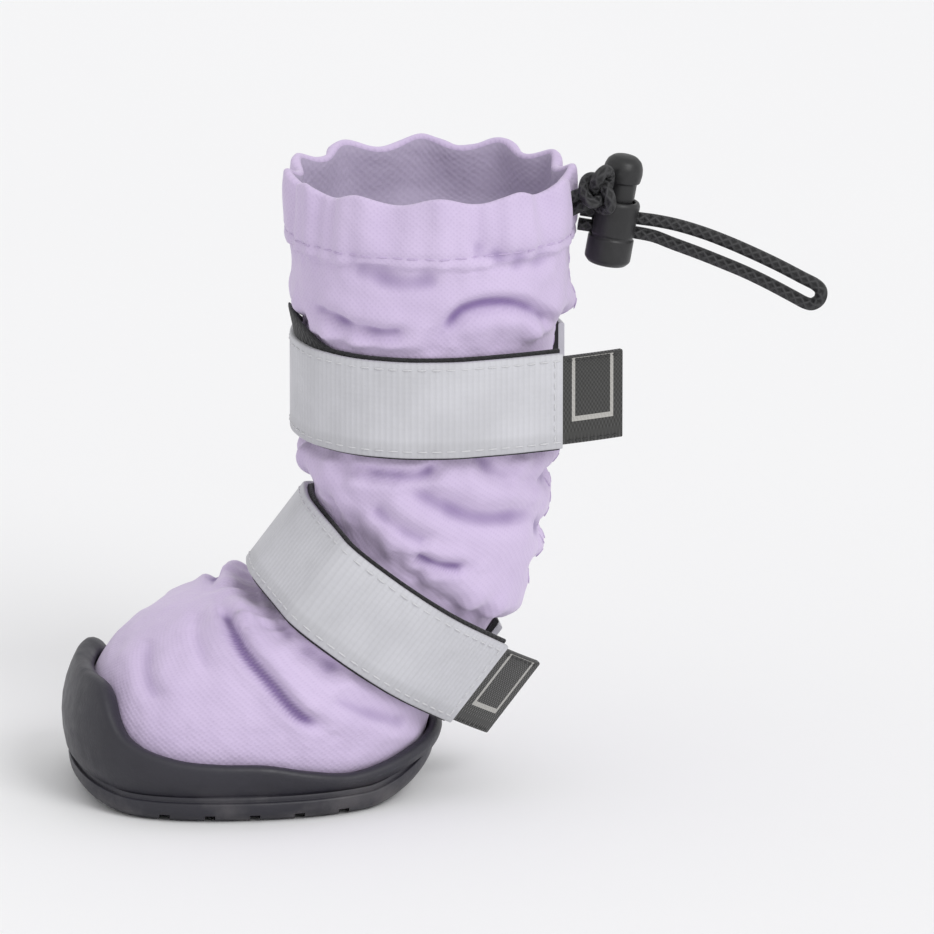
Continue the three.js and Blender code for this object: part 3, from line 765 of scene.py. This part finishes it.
def knot_path(count):
    """Three loops wound through each other, stretched upright."""
    t = np.linspace(0, 2 * math.pi, count, endpoint=False)
    tall = np.sin(t) + 2 * np.sin(2 * t)
    deep = np.cos(t) - 2 * np.cos(2 * t)
    wide = -np.sin(3 * t)
    reach = KNOT_WIDTH / 2 - KNOT_STRAND
    height = KNOT_HEIGHT / 2 - KNOT_STRAND
    return np.stack([(deep + 0.47) / 2.53 * reach, wide * 0.85 * reach, tall / 2.75 * height], -1)


KNOT_STRAND = 0.95
knot_centre = np.array([
    collar_back()[0] + KNOT_BEHIND_COLLAR, -KNOT_ASIDE, BOOT_HEIGHT - KNOT_BELOW_COLLAR,
])
elastic_knot = tube("elastic_knot", knot_centre + knot_path(160), KNOT_STRAND, 14, [braid], closed=True)
dress(elastic_knot, "elastic_cord", "drawcord_knot")


def knot_end(name, start, end):
    middle = lerp(np.array(start), np.array(end), 0.5)
    path = knot_centre + curve_through([start, middle, end], 24)
    return dress(tube(name, path, KNOT_STRAND, 14, [braid]), "elastic_cord")


KNOT_INTO_HEM = KNOT_BEHIND_COLLAR + 1.3
knot_tail_high = knot_end("elastic_knot_end_high", (0.3, 0.2, 0.6), (-KNOT_INTO_HEM, 0.9, -1.4))
knot_tail_low = knot_end("elastic_knot_end_low", (0.3, 0.4, -1.2), (-KNOT_INTO_HEM, 1.4, -3.6))


# Upper: the main creases, given in the shoe's sizes. Each has its depth, its width and its points,
# drawn on the upper as seen from one side: "near" and "far" give x from the toe and height, seen from 15
# degrees above, and "front" and "back" give y and height. A crease's ridge lies on the left of its way.
TILT_OF_SIDE_VIEW = math.tan(math.radians(15))
CREASES = {
    "near": [
        (1.25, 0.95, [(23.8, 29.6), (24.6, 25.6), (26.4, 21.2), (30.2, 16.2), (34.6, 10.9), (38, 8.9)]),
        (0.35, 1.3, [(20, 27.6), (19.6, 23.5), (21.2, 17.5)]),
        (0.4, 1.4, [(12.5, 23.5), (11.5, 18.5), (13.2, 13.2)]),
        (0.5, 1.6, [(40.2, 13.6), (45.5, 11.2), (52.7, 8.6)]),
        (0.45, 1.3, [(30.5, 27.5), (35.5, 21.5), (42, 17.2)]),
        (0.95, 1.1, [(43.4, 50.2), (47.5, 49.2), (53, 48.9), (57, 49.9)]),
        (0.7, 1.9, [(50.5, 47.6), (56.5, 44.2), (64, 41.6), (73.2, 42.4)]),
        (0.55, 1.5, [(62, 52), (66.5, 48.6), (74.5, 46.8)]),
        (0.95, 0.85, [(53, 35.8), (56.5, 34.4), (61.2, 33.7)]),
        (0.6, 1.5, [(46.5, 44), (50.5, 40.4), (56, 37.6)]),
        (1.0, 1.1, [(37.5, 76.4), (42.2, 73.4), (47.5, 71.6), (52, 71.7)]),
        (1.05, 1.15, [(75.6, 72.4), (70.5, 75.4), (65.5, 76), (60.4, 74.8), (57.6, 71.4)]),
        (0.45, 1.8, [(44, 82.5), (50, 79.4), (57.5, 79.8)]),
        (0.4, 1.6, [(62, 85.5), (68.5, 82.6), (76, 83.5)]),
    ],
    "far": [
        (1.1, 1.0, [(22.6, 30.2), (25, 24), (29.6, 17.4), (35.2, 12.2)]),
        (0.45, 1.4, [(14.5, 24.5), (14.2, 19.5), (16.8, 13.8)]),
        (0.6, 1.5, [(38.5, 18.2), (45, 13.6), (52, 11.8)]),
        (0.95, 1.2, [(45, 51), (50.5, 49.4), (57, 50.4)]),
        (0.8, 1.6, [(52, 45.8), (60, 42), (70.5, 43.6)]),
        (0.7, 1.2, [(50, 38.4), (56, 36), (62.5, 35.6)]),
        (0.95, 1.2, [(41, 75), (46.5, 72.2), (53.5, 72.4)]),
        (0.9, 1.3, [(59, 74.8), (64.5, 76.4), (72, 72.6)]),
        (0.45, 1.8, [(47, 83), (55, 80), (63.5, 82)]),
    ],
    "front": [
        (0.7, 1.6, [(-7.5, 51.5), (-1, 48.6), (6, 50.2)]),
        (0.6, 1.5, [(-4, 45.2), (3, 43.4), (9.5, 46)]),
        (0.8, 1.5, [(-8, 76.5), (-1.5, 74.4), (5, 76)]),
        (0.4, 1.6, [(1.5, 83.8), (7, 81.4), (11, 83)]),
    ],
    "back": [
        (0.8, 1.6, [(-9, 51.6), (-4, 49.4), (3, 50.8), (8, 49.6)]),
        (0.75, 1.7, [(-8, 42.6), (-1, 40.6), (7, 43.2)]),
        (0.6, 1.4, [(-6, 35.8), (0, 34.4), (6.5, 36.6)]),
        (0.8, 1.5, [(-7.5, 76.2), (0, 74.2), (7.5, 77)]),
        (0.5, 1.4, [(-6, 14.2), (0, 12.8), (5.5, 14.4)]),
    ],
}
CREASE_STRENGTH = 1.9
LEAN_UP = 0.27
RIDGE_SHARE = 0.42
RIDGE_OFFSET = 2.3


def seen_from(view, points, normals):
    """Place in the drawing and how squarely the surface faces the side it is drawn on."""
    x, y, z = points[..., 0], points[..., 1], points[..., 2]
    if view == "near":
        return x, z + y * TILT_OF_SIDE_VIEW, normals[..., 2] * LEAN_UP - normals[..., 1]
    if view == "far":
        return x, z - y * TILT_OF_SIDE_VIEW, normals[..., 2] * LEAN_UP + normals[..., 1]
    facing = normals[..., 0] if view == "back" else -normals[..., 0]
    return y, z, facing


def one_crease(view, depth, width, places, points, normals):
    u, v, facing = seen_from(view, points, normals)
    line = curve_through(places, 20)
    reach = 5 * width
    close = (u > line[:, 0].min() - reach) & (u < line[:, 0].max() + reach)
    close &= (v > line[:, 1].min() - reach) & (v < line[:, 1].max() + reach) & (facing > 0)
    rise = np.zeros(u.shape)
    if not close.any():
        return rise
    place = np.stack([u[close], v[close]], -1)
    nearest = np.full(len(place), 1e9)
    side, share = np.zeros(len(place)), np.zeros(len(place))
    for n, (start, end) in enumerate(zip(line[:-1], line[1:])):
        run = end - start
        t = np.clip(((place - start) @ run) / (run @ run), 0, 1)
        gap = place - start - t[:, None] * run
        distance = np.linalg.norm(gap, axis=1)
        better = distance < nearest
        nearest = np.where(better, distance, nearest)
        side = np.where(better, np.sign(run[0] * gap[:, 1] - run[1] * gap[:, 0]), side)
        share = np.where(better, (n + t) / (len(line) - 1), share)
    fade = smooth(0, 0.15, share) * (1 - smooth(0.82, 1, share))
    strength = CREASE_STRENGTH * depth * (0.25 + 0.75 * fade)
    trough = -np.exp(-((nearest / width) ** 2))
    signed = nearest * side
    high = np.exp(-(((signed - RIDGE_OFFSET * width) / (1.6 * width)) ** 2))
    low = np.exp(-(((signed + 1.7 * width) / (1.1 * width)) ** 2))
    rise[close] = strength * (trough + RIDGE_SHARE * high + 0.22 * low) * smooth(0.1, 0.45, facing[close])
    return rise


# Fabric puffs out beside each strap, in puckers that run away from it.
PUCKER_HEIGHT = 0.7
PUFF_HEIGHT = 0.8


def puckers(plane, points, angle, phase):
    beside = plane.beside(points)
    near = smooth(0.2, 1.8, beside) * (1 - smooth(3, 8.5, beside))
    wave = np.cos(15 * angle + 1.7 * np.sin(3 * angle + phase) + phase) + 0.6 * np.cos(26 * angle + 2 * phase)
    puff = smooth(0.5, 3, beside) * (1 - smooth(4, 10, beside)) * (0.7 + 0.5 * np.cos(3 * angle + phase))
    return near * wave * PUCKER_HEIGHT * 0.5 + puff * PUFF_HEIGHT


def soft_noise(points, size, seed):
    flat = points.reshape(-1, 3) / size + seed
    values = [noise.noise(Vector(p)) for p in flat.tolist()]
    return np.array(values).reshape(points.shape[:-1])


HEM_SEAM = BOOT_HEIGHT - CASING_HEIGHT + 1.4
BACK_SEAM_WIDTH = 0.5
# Folds go no deeper than this, so that the wall keeps some cloth between them and the lining
DEEPEST_FOLD = 1.0


def relief(points, normals, angle):
    """How far the cloth stands off the plain outside: creases, puckers, seams and softness."""
    z = points[..., 2]
    rise = np.zeros(z.shape)
    for view, creases in CREASES.items():
        for crease in creases:
            rise += one_crease(view, *crease, points, normals)
    rise = rise + puckers(ANKLE, points, angle, 0.7)
    rise = rise + puckers(INSTEP, points, angle, 2.1) * smooth(14, 24, z)
    rise = rise + 0.32 * soft_noise(points, 7.5, 3.1) + 0.14 * soft_noise(points, 3.2, 9.4)
    casing = smooth(BOOT_HEIGHT - 15, BOOT_HEIGHT - 8, z)
    rise = rise + casing * 0.22 * np.cos(31 * angle + 2 * np.sin(5 * angle))
    rim = rim_height(angle)
    clear_of_rim = smooth(0.2, 4, z - rim)
    beside = np.minimum(ANKLE.beside(points), INSTEP.beside(points))
    outward = clear_of_rim * smooth(0.4, 2.6, beside)
    inward = smooth(-1, 1.5, z - rim) * smooth(-0.8, 0.6, beside)
    rise = np.where(rise > 0, rise * outward, rise * inward)
    hem_line = -0.28 * np.exp(-(((z - HEM_SEAM) / 0.45) ** 2))
    arc = np.abs((angle + math.pi) % (2 * math.pi) - math.pi) * SHAFT_DEPTH / 2
    back_seam = -0.4 * np.exp(-((arc / BACK_SEAM_WIDTH) ** 2)) + 0.2 * np.exp(-(((arc - 1.2) / 0.6) ** 2))
    return rise + hem_line + back_seam * inward


def dressed_upper(share, angle):
    """The cloth's outside with its relief, and how deep in a fold each point lies."""
    plain = upper_surface(share, angle)
    normals = normal_of(upper_surface, share, angle)
    rise = relief(plain, normals, angle)
    kept = np.where(rise < 0, DEEPEST_FOLD * np.tanh(rise / DEEPEST_FOLD), rise)
    return plain + normals * kept[..., None], rise


def make_upper():
    turn = 2 * math.pi * np.arange(AROUND) / AROUND
    share, angle = grid(np.linspace(0, 1, OUTSIDE_ROWS), turn)
    outside, rise = dressed_upper(share, angle)
    outside[0, :, 2] = SOLE_PLATE + SEAM_GAP
    inner_share, inner_angle = grid(np.linspace(1, 0, INSIDE_ROWS), turn)
    inside = upper_wall(inner_share, inner_angle, -FABRIC)
    top_out, top_in = outside[-1], inside[0]
    lip = []
    for step in np.linspace(0, math.pi, 7)[1:-1]:
        ring = lerp(top_out, top_in, (1 - math.cos(step)) / 2)
        ring[:, 2] += FABRIC * 0.45 * math.sin(step)
        lip.append(ring)
    inside[-1, :, 2] = SOLE_PLATE + SEAM_GAP
    rows = np.concatenate([outside, np.array(lip), inside])
    column_place = np.arange(AROUND + 1) * (math.pi * SHAFT_DEPTH / AROUND)
    row_place = run_along(rows.mean(1))
    piece = grid_mesh("upper_cloth", rows, row_place, column_place, [cloth, lining], closed=True)
    face_rows = np.repeat(np.arange(len(rows)), AROUND)
    inside_from = OUTSIDE_ROWS + len(lip)
    piece.data.polygons.foreach_set("material_index", (face_rows >= inside_from).astype(np.int32))
    # Painted shade in the creases: the deeper a point lies in a fold, the darker its colour is painted.
    fold = np.zeros(rows.shape[:2])
    fold[:OUTSIDE_ROWS] = np.clip((-rise - 0.35) * 0.8, 0, 1)
    piece.data.attributes.new("fold", "FLOAT", "POINT").data.foreach_set("value", fold.reshape(-1))
    dress(piece, "upper_fabric", "upper")


make_upper()


def line_stitches(name, share, angle, pitch, length, material, slot):
    """Stitches a pitch apart along a line on the cloth."""
    line, _ = dressed_upper(share, angle)
    run = run_along(line)
    at = np.arange(pitch, run[-1] - pitch / 2, pitch)
    places = np.stack([np.interp(at, run, line[:, i]) for i in range(3)], -1)
    ahead = np.stack([np.interp(at + 0.4, run, line[:, i]) for i in range(3)], -1)
    along = unit(ahead - places)
    shares, turns = np.interp(at, run, share), np.interp(at, run, angle)
    off = normal_of(upper_surface, shares, turns)
    return dress(stitches(name, places, along, off, length, 0.28, material), slot)


STITCH_PITCH = 2.5
hem_angle = np.linspace(0.04, 2 * math.pi - 0.04, 400)
hem_share = share_at(hem_angle, HEM_SEAM, 0.6, 1.0)
line_stitches("hem_stitches", hem_share, hem_angle, STITCH_PITCH, 1.9, lavender_thread, "upper_fabric")
for side in (-1, 1):
    seam_share = np.linspace(0.12, 0.93, 400)
    seam_angle = np.full(400, side * 0.085)
    name = "back_seam_stitches_" + ("near" if side < 0 else "far")
    line_stitches(name, seam_share, seam_angle, STITCH_PITCH, 1.8, lavender_thread, "upper_fabric")


# Outsole and insole
OUTSOLE_GIRTH = 150
INSOLE_GIRTH = 130


def floor_rise(x):
    toe = np.clip((TOE_FLAT_START - x) / TOE_FLAT_START, 0, 1)
    heel = np.clip((x - HEEL_FLAT_END) / (SOLE_LENGTH - HEEL_FLAT_END), 0, 1)
    return TOE_SPRING * toe**2 + HEEL_SPRING * heel**1.6


def make_outsole():
    angle = 2 * math.pi * np.arange(SOLE_AROUND) / SOLE_AROUND
    upper_foot = SOLE_PLATE + SEAM_GAP
    middle = np.array([SOLE_LENGTH / 2, 0, 0])
    rim = rim_height(angle)

    def wall(z, out):
        return upper_wall(share_at(angle, z), angle, SEAM_GAP + out)

    thickness = RUBBER_WALL + TOE_BUMPER * (1 - smooth(0.12, 0.45, from_toe(angle)))
    low = wall(upper_foot, 0)
    away = low - middle
    away[:, 2] = 0
    away = unit(away)

    def side(out, z):
        ring = low + away * (thickness + out)[:, None]
        ring[:, 2] = z + floor_rise(ring[:, 0])
        return ring

    def plate(share):
        ring = lerp(np.array([middle[0], 0, SOLE_PLATE]), low, share)
        ring[:, 2] = SOLE_PLATE
        return ring

    sole = low + away * (thickness - EDGE_ROUNDING * 0.5)[:, None]

    def bottom(share):
        ring = lerp(middle, sole, share)
        ring[:, 2] = floor_rise(ring[:, 0])
        return ring

    rings = [plate(0.004), plate(0.3), plate(0.6), plate(0.85), plate(0.97), plate(1)]
    lip_foot = rim - 0.7
    rings += [wall(lerp(upper_foot, lip_foot, up), 0) for up in (0.12, 0.3, 0.5, 0.7, 0.88, 1)]
    lip = thickness / 2
    for turn in np.linspace(math.pi, 0, 8):
        rings.append(wall(lip_foot + 0.8 * math.sin(turn), lip + lip * math.cos(turn)))
    swell_rise = floor_rise(side(FOXING_SWELL, 0)[:, 0])
    shoulder = np.minimum(FOXING_HEIGHT + SHOULDER + swell_rise, rim - 1)
    for down in (0.94, 0.86, 0.72, 0.56, 0.4, 0.24, 0.1):
        rings.append(wall(lerp(shoulder, rim - 0.75, down), thickness))
    band = FOXING_SWELL
    proud = band + FOXING_STEP
    # From the swell down over the band to the sole's edge, as places out from the wall and above the floor
    rings += [side(out, up) for out, up in (
        (band - 0.16, FOXING_HEIGHT + 0.8), (band, FOXING_HEIGHT + 0.4),
        (band - 0.06, FOXING_HEIGHT + 0.22), (band - 0.02, FOXING_HEIGHT + 0.08),
        (proud - 0.2, FOXING_HEIGHT + 0.01), (proud - 0.04, FOXING_HEIGHT - 0.12),
        (proud, FOXING_HEIGHT - 0.35), (proud - 0.02, FOXING_HEIGHT * 0.72),
        (proud - 0.08, FOXING_HEIGHT * 0.55), (proud - 0.2, EDGE_ROUNDING * 0.55),
        (proud - 0.6, EDGE_ROUNDING * 0.34), (0.35, EDGE_ROUNDING * 0.18), (-0.25, EDGE_ROUNDING * 0.05),
    )]
    flat = (HEEL_FLAT_END - middle[0]) / (sole[0, 0] - middle[0])
    inwards = (0.985, 0.93, 0.86, 0.8, lerp(0.8, flat, 0.5), flat, flat / 2, 0.004)
    rings += [bottom(share) for share in inwards]
    rows = np.array(rings)[::-1]
    column_place = np.arange(SOLE_AROUND + 1) * OUTSOLE_GIRTH / SOLE_AROUND
    piece = grid_mesh("outsole_rubber", rows, ring_places(rows), column_place, [rubber], caps=True)
    count = int((HEEL_FLAT_END - TOE_FLAT_START) // TREAD_PITCH)
    first = (HEEL_FLAT_END + TOE_FLAT_START - (count - 1) * TREAD_PITCH) / 2
    size = np.array([TREAD_GROOVE, SOLE_WIDTH * 1.4, 2 * TREAD_DEPTH])
    cut_with(piece, [box_cutter(np.array([first + i * TREAD_PITCH, 0, 0]), size) for i in range(count)])
    sharpen(piece, 50)
    dress(piece, "sole_rubber", "outsole")


make_outsole()


def make_insole():
    angle = 2 * math.pi * np.arange(SOLE_AROUND) / SOLE_AROUND
    bottom = SOLE_PLATE + SEAM_GAP
    inset = -FABRIC - 2 * SEAM_GAP

    base = upper_wall(share_at(angle, bottom), angle, inset)
    middle = np.array([SOLE_LENGTH / 2, 0, 0])

    def edge(z, inward, share=1.0):
        ring = base - unit(base * (1, 1, 0) - middle) * inward
        ring = lerp(middle, ring, share)
        ring[:, 2] = z
        return ring

    top = bottom + INSOLE_THICKNESS
    rows = np.array([edge(*place) for place in (
        (bottom, 0.3, 0.01), (bottom, 0.3), (bottom + 0.3, 0), (top - 0.6, 0), (top - 0.2, 0.2), (top, 0.7),
        (top - 0.25, 1.6), (top - 0.25, 2, 0.9), (top - 0.35, 2, 0.6), (top - 0.4, 2, 0.3), (top - 0.4, 2, 0.01),
    )])
    column_place = np.arange(SOLE_AROUND + 1) * INSOLE_GIRTH / SOLE_AROUND
    piece = grid_mesh("insole_sheet", rows, ring_places(rows), column_place, [insole_cloth], caps=True)
    sharpen(piece, 60)
    dress(piece, "insole_fabric", "insole")


make_insole()


# Straps
strap_share, strap_angle = grid(np.linspace(0, 1, 150), np.linspace(0, 2 * math.pi, 181))
UPPER_POINTS = upper_surface(strap_share, strap_angle).reshape(-1, 3)
REST_ON_CLOTH = 0.2


def taut_loop(plane):
    """The distance of a taut strap from its plane's middle, as a function of the angle."""
    under = UPPER_POINTS[plane.beside(UPPER_POINTS) <= BACKING_MARGIN + 0.3]
    flat = np.stack([(under - plane.middle) @ plane.back, under[:, 1]], -1)
    facing = 2 * math.pi * np.arange(180) / 180
    far = (flat @ np.stack([np.cos(facing), np.sin(facing)])).max(0) + REST_ON_CLOTH

    def loop(angle):
        lean = np.cos(angle[:, None] - facing)
        reach = np.where(lean > 0.3, far / np.maximum(lean, 0.3), 1e9)
        return reach.min(1)

    return loop


def turn_about(axis, vectors, angle):
    c, s = np.cos(angle)[:, None], np.sin(angle)[:, None]
    return vectors * c + np.cross(axis, vectors) * s + axis * (vectors @ axis)[:, None] * (1 - c)


def strap_line(plane, leave, tail):
    """Places and directions along the strap and its tail, and along the tag sewn to its end."""
    loop = taut_loop(plane)
    angle = np.linspace(math.radians(STRAP_START), 2 * math.pi - math.radians(leave), STRAP_STEPS)

    def place(a):
        reach = loop(a)[:, None]
        flat = plane.middle + plane.back * reach * np.cos(a)[:, None]
        return flat + np.array([0, 1, 0]) * reach * np.sin(a)[:, None]

    at = place(angle)
    along = unit(place(angle + 0.03) - place(angle - 0.03))

    def line(distance):
        turn = distance / TAIL_RADIUS
        start, way = at[-1], np.repeat(along[-1:], len(distance), 0)
        there = start + turn_about(plane.across, way, turn / 2) * distance[:, None]
        return there, turn_about(plane.across, way, turn)

    tail_at, tail_along = line(np.linspace(0, tail, max(3, int(tail * 1.6)))[1:])
    tab_at, tab_along = line(tail + np.linspace(-0.1, SEAM_GAP + TAB_LENGTH, 24))
    return np.concatenate([at, tail_at]), np.concatenate([along, tail_along]), tab_at, tab_along


def band_profile(width, low, high, rounding):
    """A flat band's section with round edges, as places across and off the boot."""
    corners = []
    for side_x, side_z, start in ((1, -1, -90), (1, 1, 0), (-1, 1, 90), (-1, -1, 180)):
        centre = (side_x * (width / 2 - rounding), (high if side_z > 0 else low) - side_z * rounding)
        for turn in np.radians(start + np.array([0, 30, 60, 90])):
            corners.append((centre[0] + rounding * math.cos(turn), centre[1] + rounding * math.sin(turn)))
    filled = []
    for n, corner in enumerate(corners):
        filled.append(corner)
        nxt = corners[(n + 1) % len(corners)]
        if abs(nxt[0] - corner[0]) > width / 2:
            filled += [tuple(lerp(np.array(corner), np.array(nxt), t)) for t in (0.12, 0.3, 0.5, 0.7, 0.88)]
    return np.array(filled)


def band(name, plane, at, along, width, low, high, materials, wave=0.0, from_middle=False, lift=None):
    off = unit(np.cross(along, plane.across))
    profile = band_profile(width, low, high, min(0.3, (high - low) * 0.45))
    run = run_along(at)
    if from_middle:
        run = run - run[-1] / 2
    ripple = wave * (0.5 + 0.5 * np.sin(run * 0.55) * np.sin(run * 0.21 + 1))
    raised = np.zeros(len(at)) if lift is None else lift
    raised = raised[:, None] * np.clip(2 * profile[:, 0] / width, 0, 1)[None] ** 6
    rows = (
        at[:, None]
        + plane.across * (profile[:, 0][None, :] + raised)[..., None]
        + off[:, None] * (profile[:, 1][None, :] + ripple[:, None] + FLAP_LEAN * raised)[..., None]
    )
    across = np.append(profile[:, 0], profile[0, 0])
    piece = grid_mesh(name, rows[:, ::-1], run, across[::-1], materials, caps=True)
    sharpen(swap_places(piece), 60)
    return piece


def edge_stitches(name, plane, at, along, width, inset, height, pitch, material, slot):
    """Two rows of stitches, one along each long edge of a band."""
    off = unit(np.cross(along, plane.across))
    run = run_along(at)
    spots = np.arange(pitch, run[-1] - pitch * 0.4, pitch)

    def pick(values):
        return np.stack([np.interp(spots, run, values[:, i]) for i in range(3)], -1)

    places, ways, offs = pick(at), unit(pick(along)), unit(pick(off))
    rows = [places + plane.across * s * (width / 2 - inset) + offs * height for s in (-1, 1)]
    both = np.concatenate(rows)
    twice = (np.concatenate([ways, ways]), np.concatenate([offs, offs]))
    return dress(stitches(name, both, twice[0], twice[1], pitch * 0.72, 0.3, material), slot)


def cross_stitches(name, plane, place, way, width, height, pitch, material, slot):
    """One row of stitches across a band, at one place along it."""
    off = unit(np.cross(way, plane.across)[None])[0]
    spots = np.arange(-width / 2 + pitch, width / 2 - pitch * 0.6, pitch)
    places = place + plane.across * spots[:, None] + off * height
    ways = np.repeat(plane.across[None], len(spots), 0)
    offs = np.repeat(off[None], len(spots), 0)
    return dress(stitches(name, places, ways, offs, pitch * 0.72, 0.3, material), slot)


# A corner of the webbing shows above the ankle strap's tape, at the front.
FLAP_HEIGHT = 4.2
FLAP_LEAN = 0.36


def flap_lift(plane, at, height):
    angle = np.degrees(np.arctan2(at[:, 1], (at - plane.middle) @ plane.back)) % 360
    return height * smooth(158, 180, angle) * (1 - smooth(184, 222, angle))


END_STITCH_INSET = 1.3


def make_strap(name, plane, leave, tail, flap):
    at, along, tab_at, tab_along = strap_line(plane, leave, tail)
    face_low = BACKING_THICKNESS + 0.04
    face_high = BACKING_THICKNESS + SEAM_GAP + FACE_THICKNESS
    full = STRAP_WIDTH + 2 * BACKING_MARGIN
    back = band(
        name + "_webbing", plane, at, along, full, 0, BACKING_THICKNESS, [webbing],
        lift=flap_lift(plane, at, flap),
    )
    dress(back, "strap_backing", name + "_backing")
    face = band(name + "_tape", plane, at, along, STRAP_WIDTH, face_low, face_high, [tape], wave=0.12)
    dress(face, "strap_face", name)
    tab_low = (face_low + face_high - TAB_THICKNESS) / 2
    tag = band(
        name + "_tag", plane, tab_at, tab_along, TAB_WIDTH, tab_low, tab_low + TAB_THICKNESS,
        [tag_cloth], from_middle=True,
    )
    dress(tag, "woven_tab", name + "_tab")
    top = face_high + 0.06
    edge_stitches(
        name + "_edge_stitches", plane, at, along, STRAP_WIDTH, 1.1, top, 2.1, grey_thread, "strap_face",
    )
    from_end = np.linalg.norm(at[:-1] - at[-1], axis=1)
    from_start = np.linalg.norm(at[:20] - at[0], axis=1)
    for word, reach in (("end", from_end), ("start", from_start)):
        spot = int(np.argmin(np.abs(reach - END_STITCH_INSET)))
        cross_stitches(
            f"{name}_{word}_stitches", plane, at[spot], along[spot], STRAP_WIDTH, top, 1.7,
            grey_thread, "strap_face",
        )
    edge_stitches(
        name + "_tag_stitches", plane, tab_at, tab_along, TAB_WIDTH, 0.6,
        tab_low + TAB_THICKNESS + 0.03, 1.3, black_thread, "woven_tab",
    )


make_strap("ankle_strap", ANKLE, ANKLE_STRAP_LEAVE, ANKLE_STRAP_TAIL, FLAP_HEIGHT)
make_strap("instep_strap", INSTEP, INSTEP_STRAP_LEAVE, INSTEP_STRAP_TAIL, 0)


# Cord lock
def turned(name, profile, segments, materials):
    """A round solid from a profile of radius and height in the lock's frame, from bottom axis to top axis."""
    turns = 2 * math.pi * np.arange(segments) / segments
    rows = []
    for radius, height in profile:
        r = max(radius, 0.01)
        rows.append(np.stack([r * np.cos(turns), r * np.sin(turns), np.full(segments, height)], -1))
    rows = lock_to_shoe(np.array(rows))
    heights = np.array([h for _, h in profile], float)
    girth = np.arange(segments + 1) * 2 * math.pi * LOCK_RADIUS / segments
    return grid_mesh(name, rows, heights, girth, materials, caps=True)


def rounded(profile, radius, steps=4):
    """Rounds the corners of a profile, apart from its two ends."""
    points = [np.array(p, float) for p in profile]
    out = [points[0]]
    for before, corner, after in zip(points, points[1:], points[2:]):
        to_before, to_after = before - corner, after - corner
        cut = min(radius, np.linalg.norm(to_before) * 0.45, np.linalg.norm(to_after) * 0.45)
        start = corner + to_before / np.linalg.norm(to_before) * cut
        end = corner + to_after / np.linalg.norm(to_after) * cut
        for t in np.linspace(0, 1, steps):
            out.append((1 - t) ** 2 * start + 2 * t * (1 - t) * corner + t**2 * end)
    out.append(points[-1])
    return [tuple(p) for p in out]


def make_lock():
    top, bottom = LOCK_HEIGHT / 2, -LOCK_HEIGHT / 2
    bore_floor = bottom + LOCK_FLOOR
    slot_half = (STRAND_SPACING + CORD_DIAMETER) / 2 + SEAM_GAP
    slot_low, slot_high = STRAND_HEIGHT - slot_half, STRAND_HEIGHT + slot_half
    slot_width = CORD_DIAMETER + 2 * SEAM_GAP

    def slot(low, high):
        centre = np.array([0, 0, (low + high) / 2])
        return box_cutter(centre, np.array([4 * LOCK_RADIUS, slot_width, high - low]), lock_to_shoe)

    barrel = turned("lock_barrel", rounded([
        (0, bottom), (LOCK_RADIUS * 0.8, bottom), (LOCK_RADIUS, bottom + 0.8),
        (LOCK_RADIUS, -0.95), (LOCK_RADIUS * 0.95, -0.75), (LOCK_RADIUS * 0.95, -0.45), (LOCK_RADIUS, -0.25),
        (LOCK_RADIUS, top - 0.5), (LOCK_RADIUS * 0.92, top), (LOCK_BORE, top),
        (LOCK_BORE, bore_floor), (0, bore_floor),
    ], 0.3), 64, [plastic])
    cut_with(barrel, [slot(slot_low, slot_high)])
    sharpen(barrel)
    dress(barrel, "lock_plastic", "cord_lock_barrel")
    stem = LOCK_BORE - PLUNGER_CLEARANCE
    stem_foot = bore_floor + PLUNGER_TRAVEL + SEAM_GAP
    head_foot = top + PLUNGER_NECK
    head, tall = PLUNGER_HEAD_RADIUS, PLUNGER_HEAD
    plunger = turned("lock_plunger", rounded([
        (0, stem_foot), (stem, stem_foot), (stem, head_foot - 0.2), (head * 0.94, head_foot),
        (head, head_foot + tall * 0.3), (head * 0.97, head_foot + tall * 0.55),
        (head * 0.85, head_foot + tall * 0.77), (head * 0.6, head_foot + tall * 0.93),
        (head * 0.3, head_foot + tall * 0.99), (0, head_foot + tall),
    ], 0.3), 64, [plastic])
    cut_with(plunger, [slot(slot_low, slot_high + PLUNGER_TRAVEL)])
    sharpen(plunger)
    dress(plunger, "lock_plastic", "cord_lock_plunger", body="plunger")
    return barrel, plunger


lock_barrel, lock_plunger = make_lock()


# Floor and light
def add_floor():
    size = 3.0
    mesh = bpy.data.meshes.new("studio_floor")
    corners = [(-size, -size, 0), (size, -size, 0), (size, size, 0), (-size, size, 0)]
    mesh.from_pydata(corners, [], [(0, 1, 2, 3)])
    link_mesh("studio_floor", mesh, [floor_material()])


def add_light():
    world = bpy.data.worlds.new("studio")
    world.use_nodes = True
    backdrop = {"Color": (1, 1, 1, 1), "Strength": 0.83}
    feed(world.node_tree, world.node_tree.nodes["Background"], backdrop)
    bpy.context.scene.world = world
    data = bpy.data.lights.new("window", "SUN")
    data.energy = 1.15
    data.angle = math.radians(30)
    lamp = bpy.data.objects.new("window", data)
    lamp.rotation_euler = Vector((0.45, -0.65, 0.61)).to_track_quat("Z", "Y").to_euler()
    bpy.context.scene.collection.objects.link(lamp)
    bpy.context.scene.view_settings.view_transform = "Standard"


add_floor()
add_light()
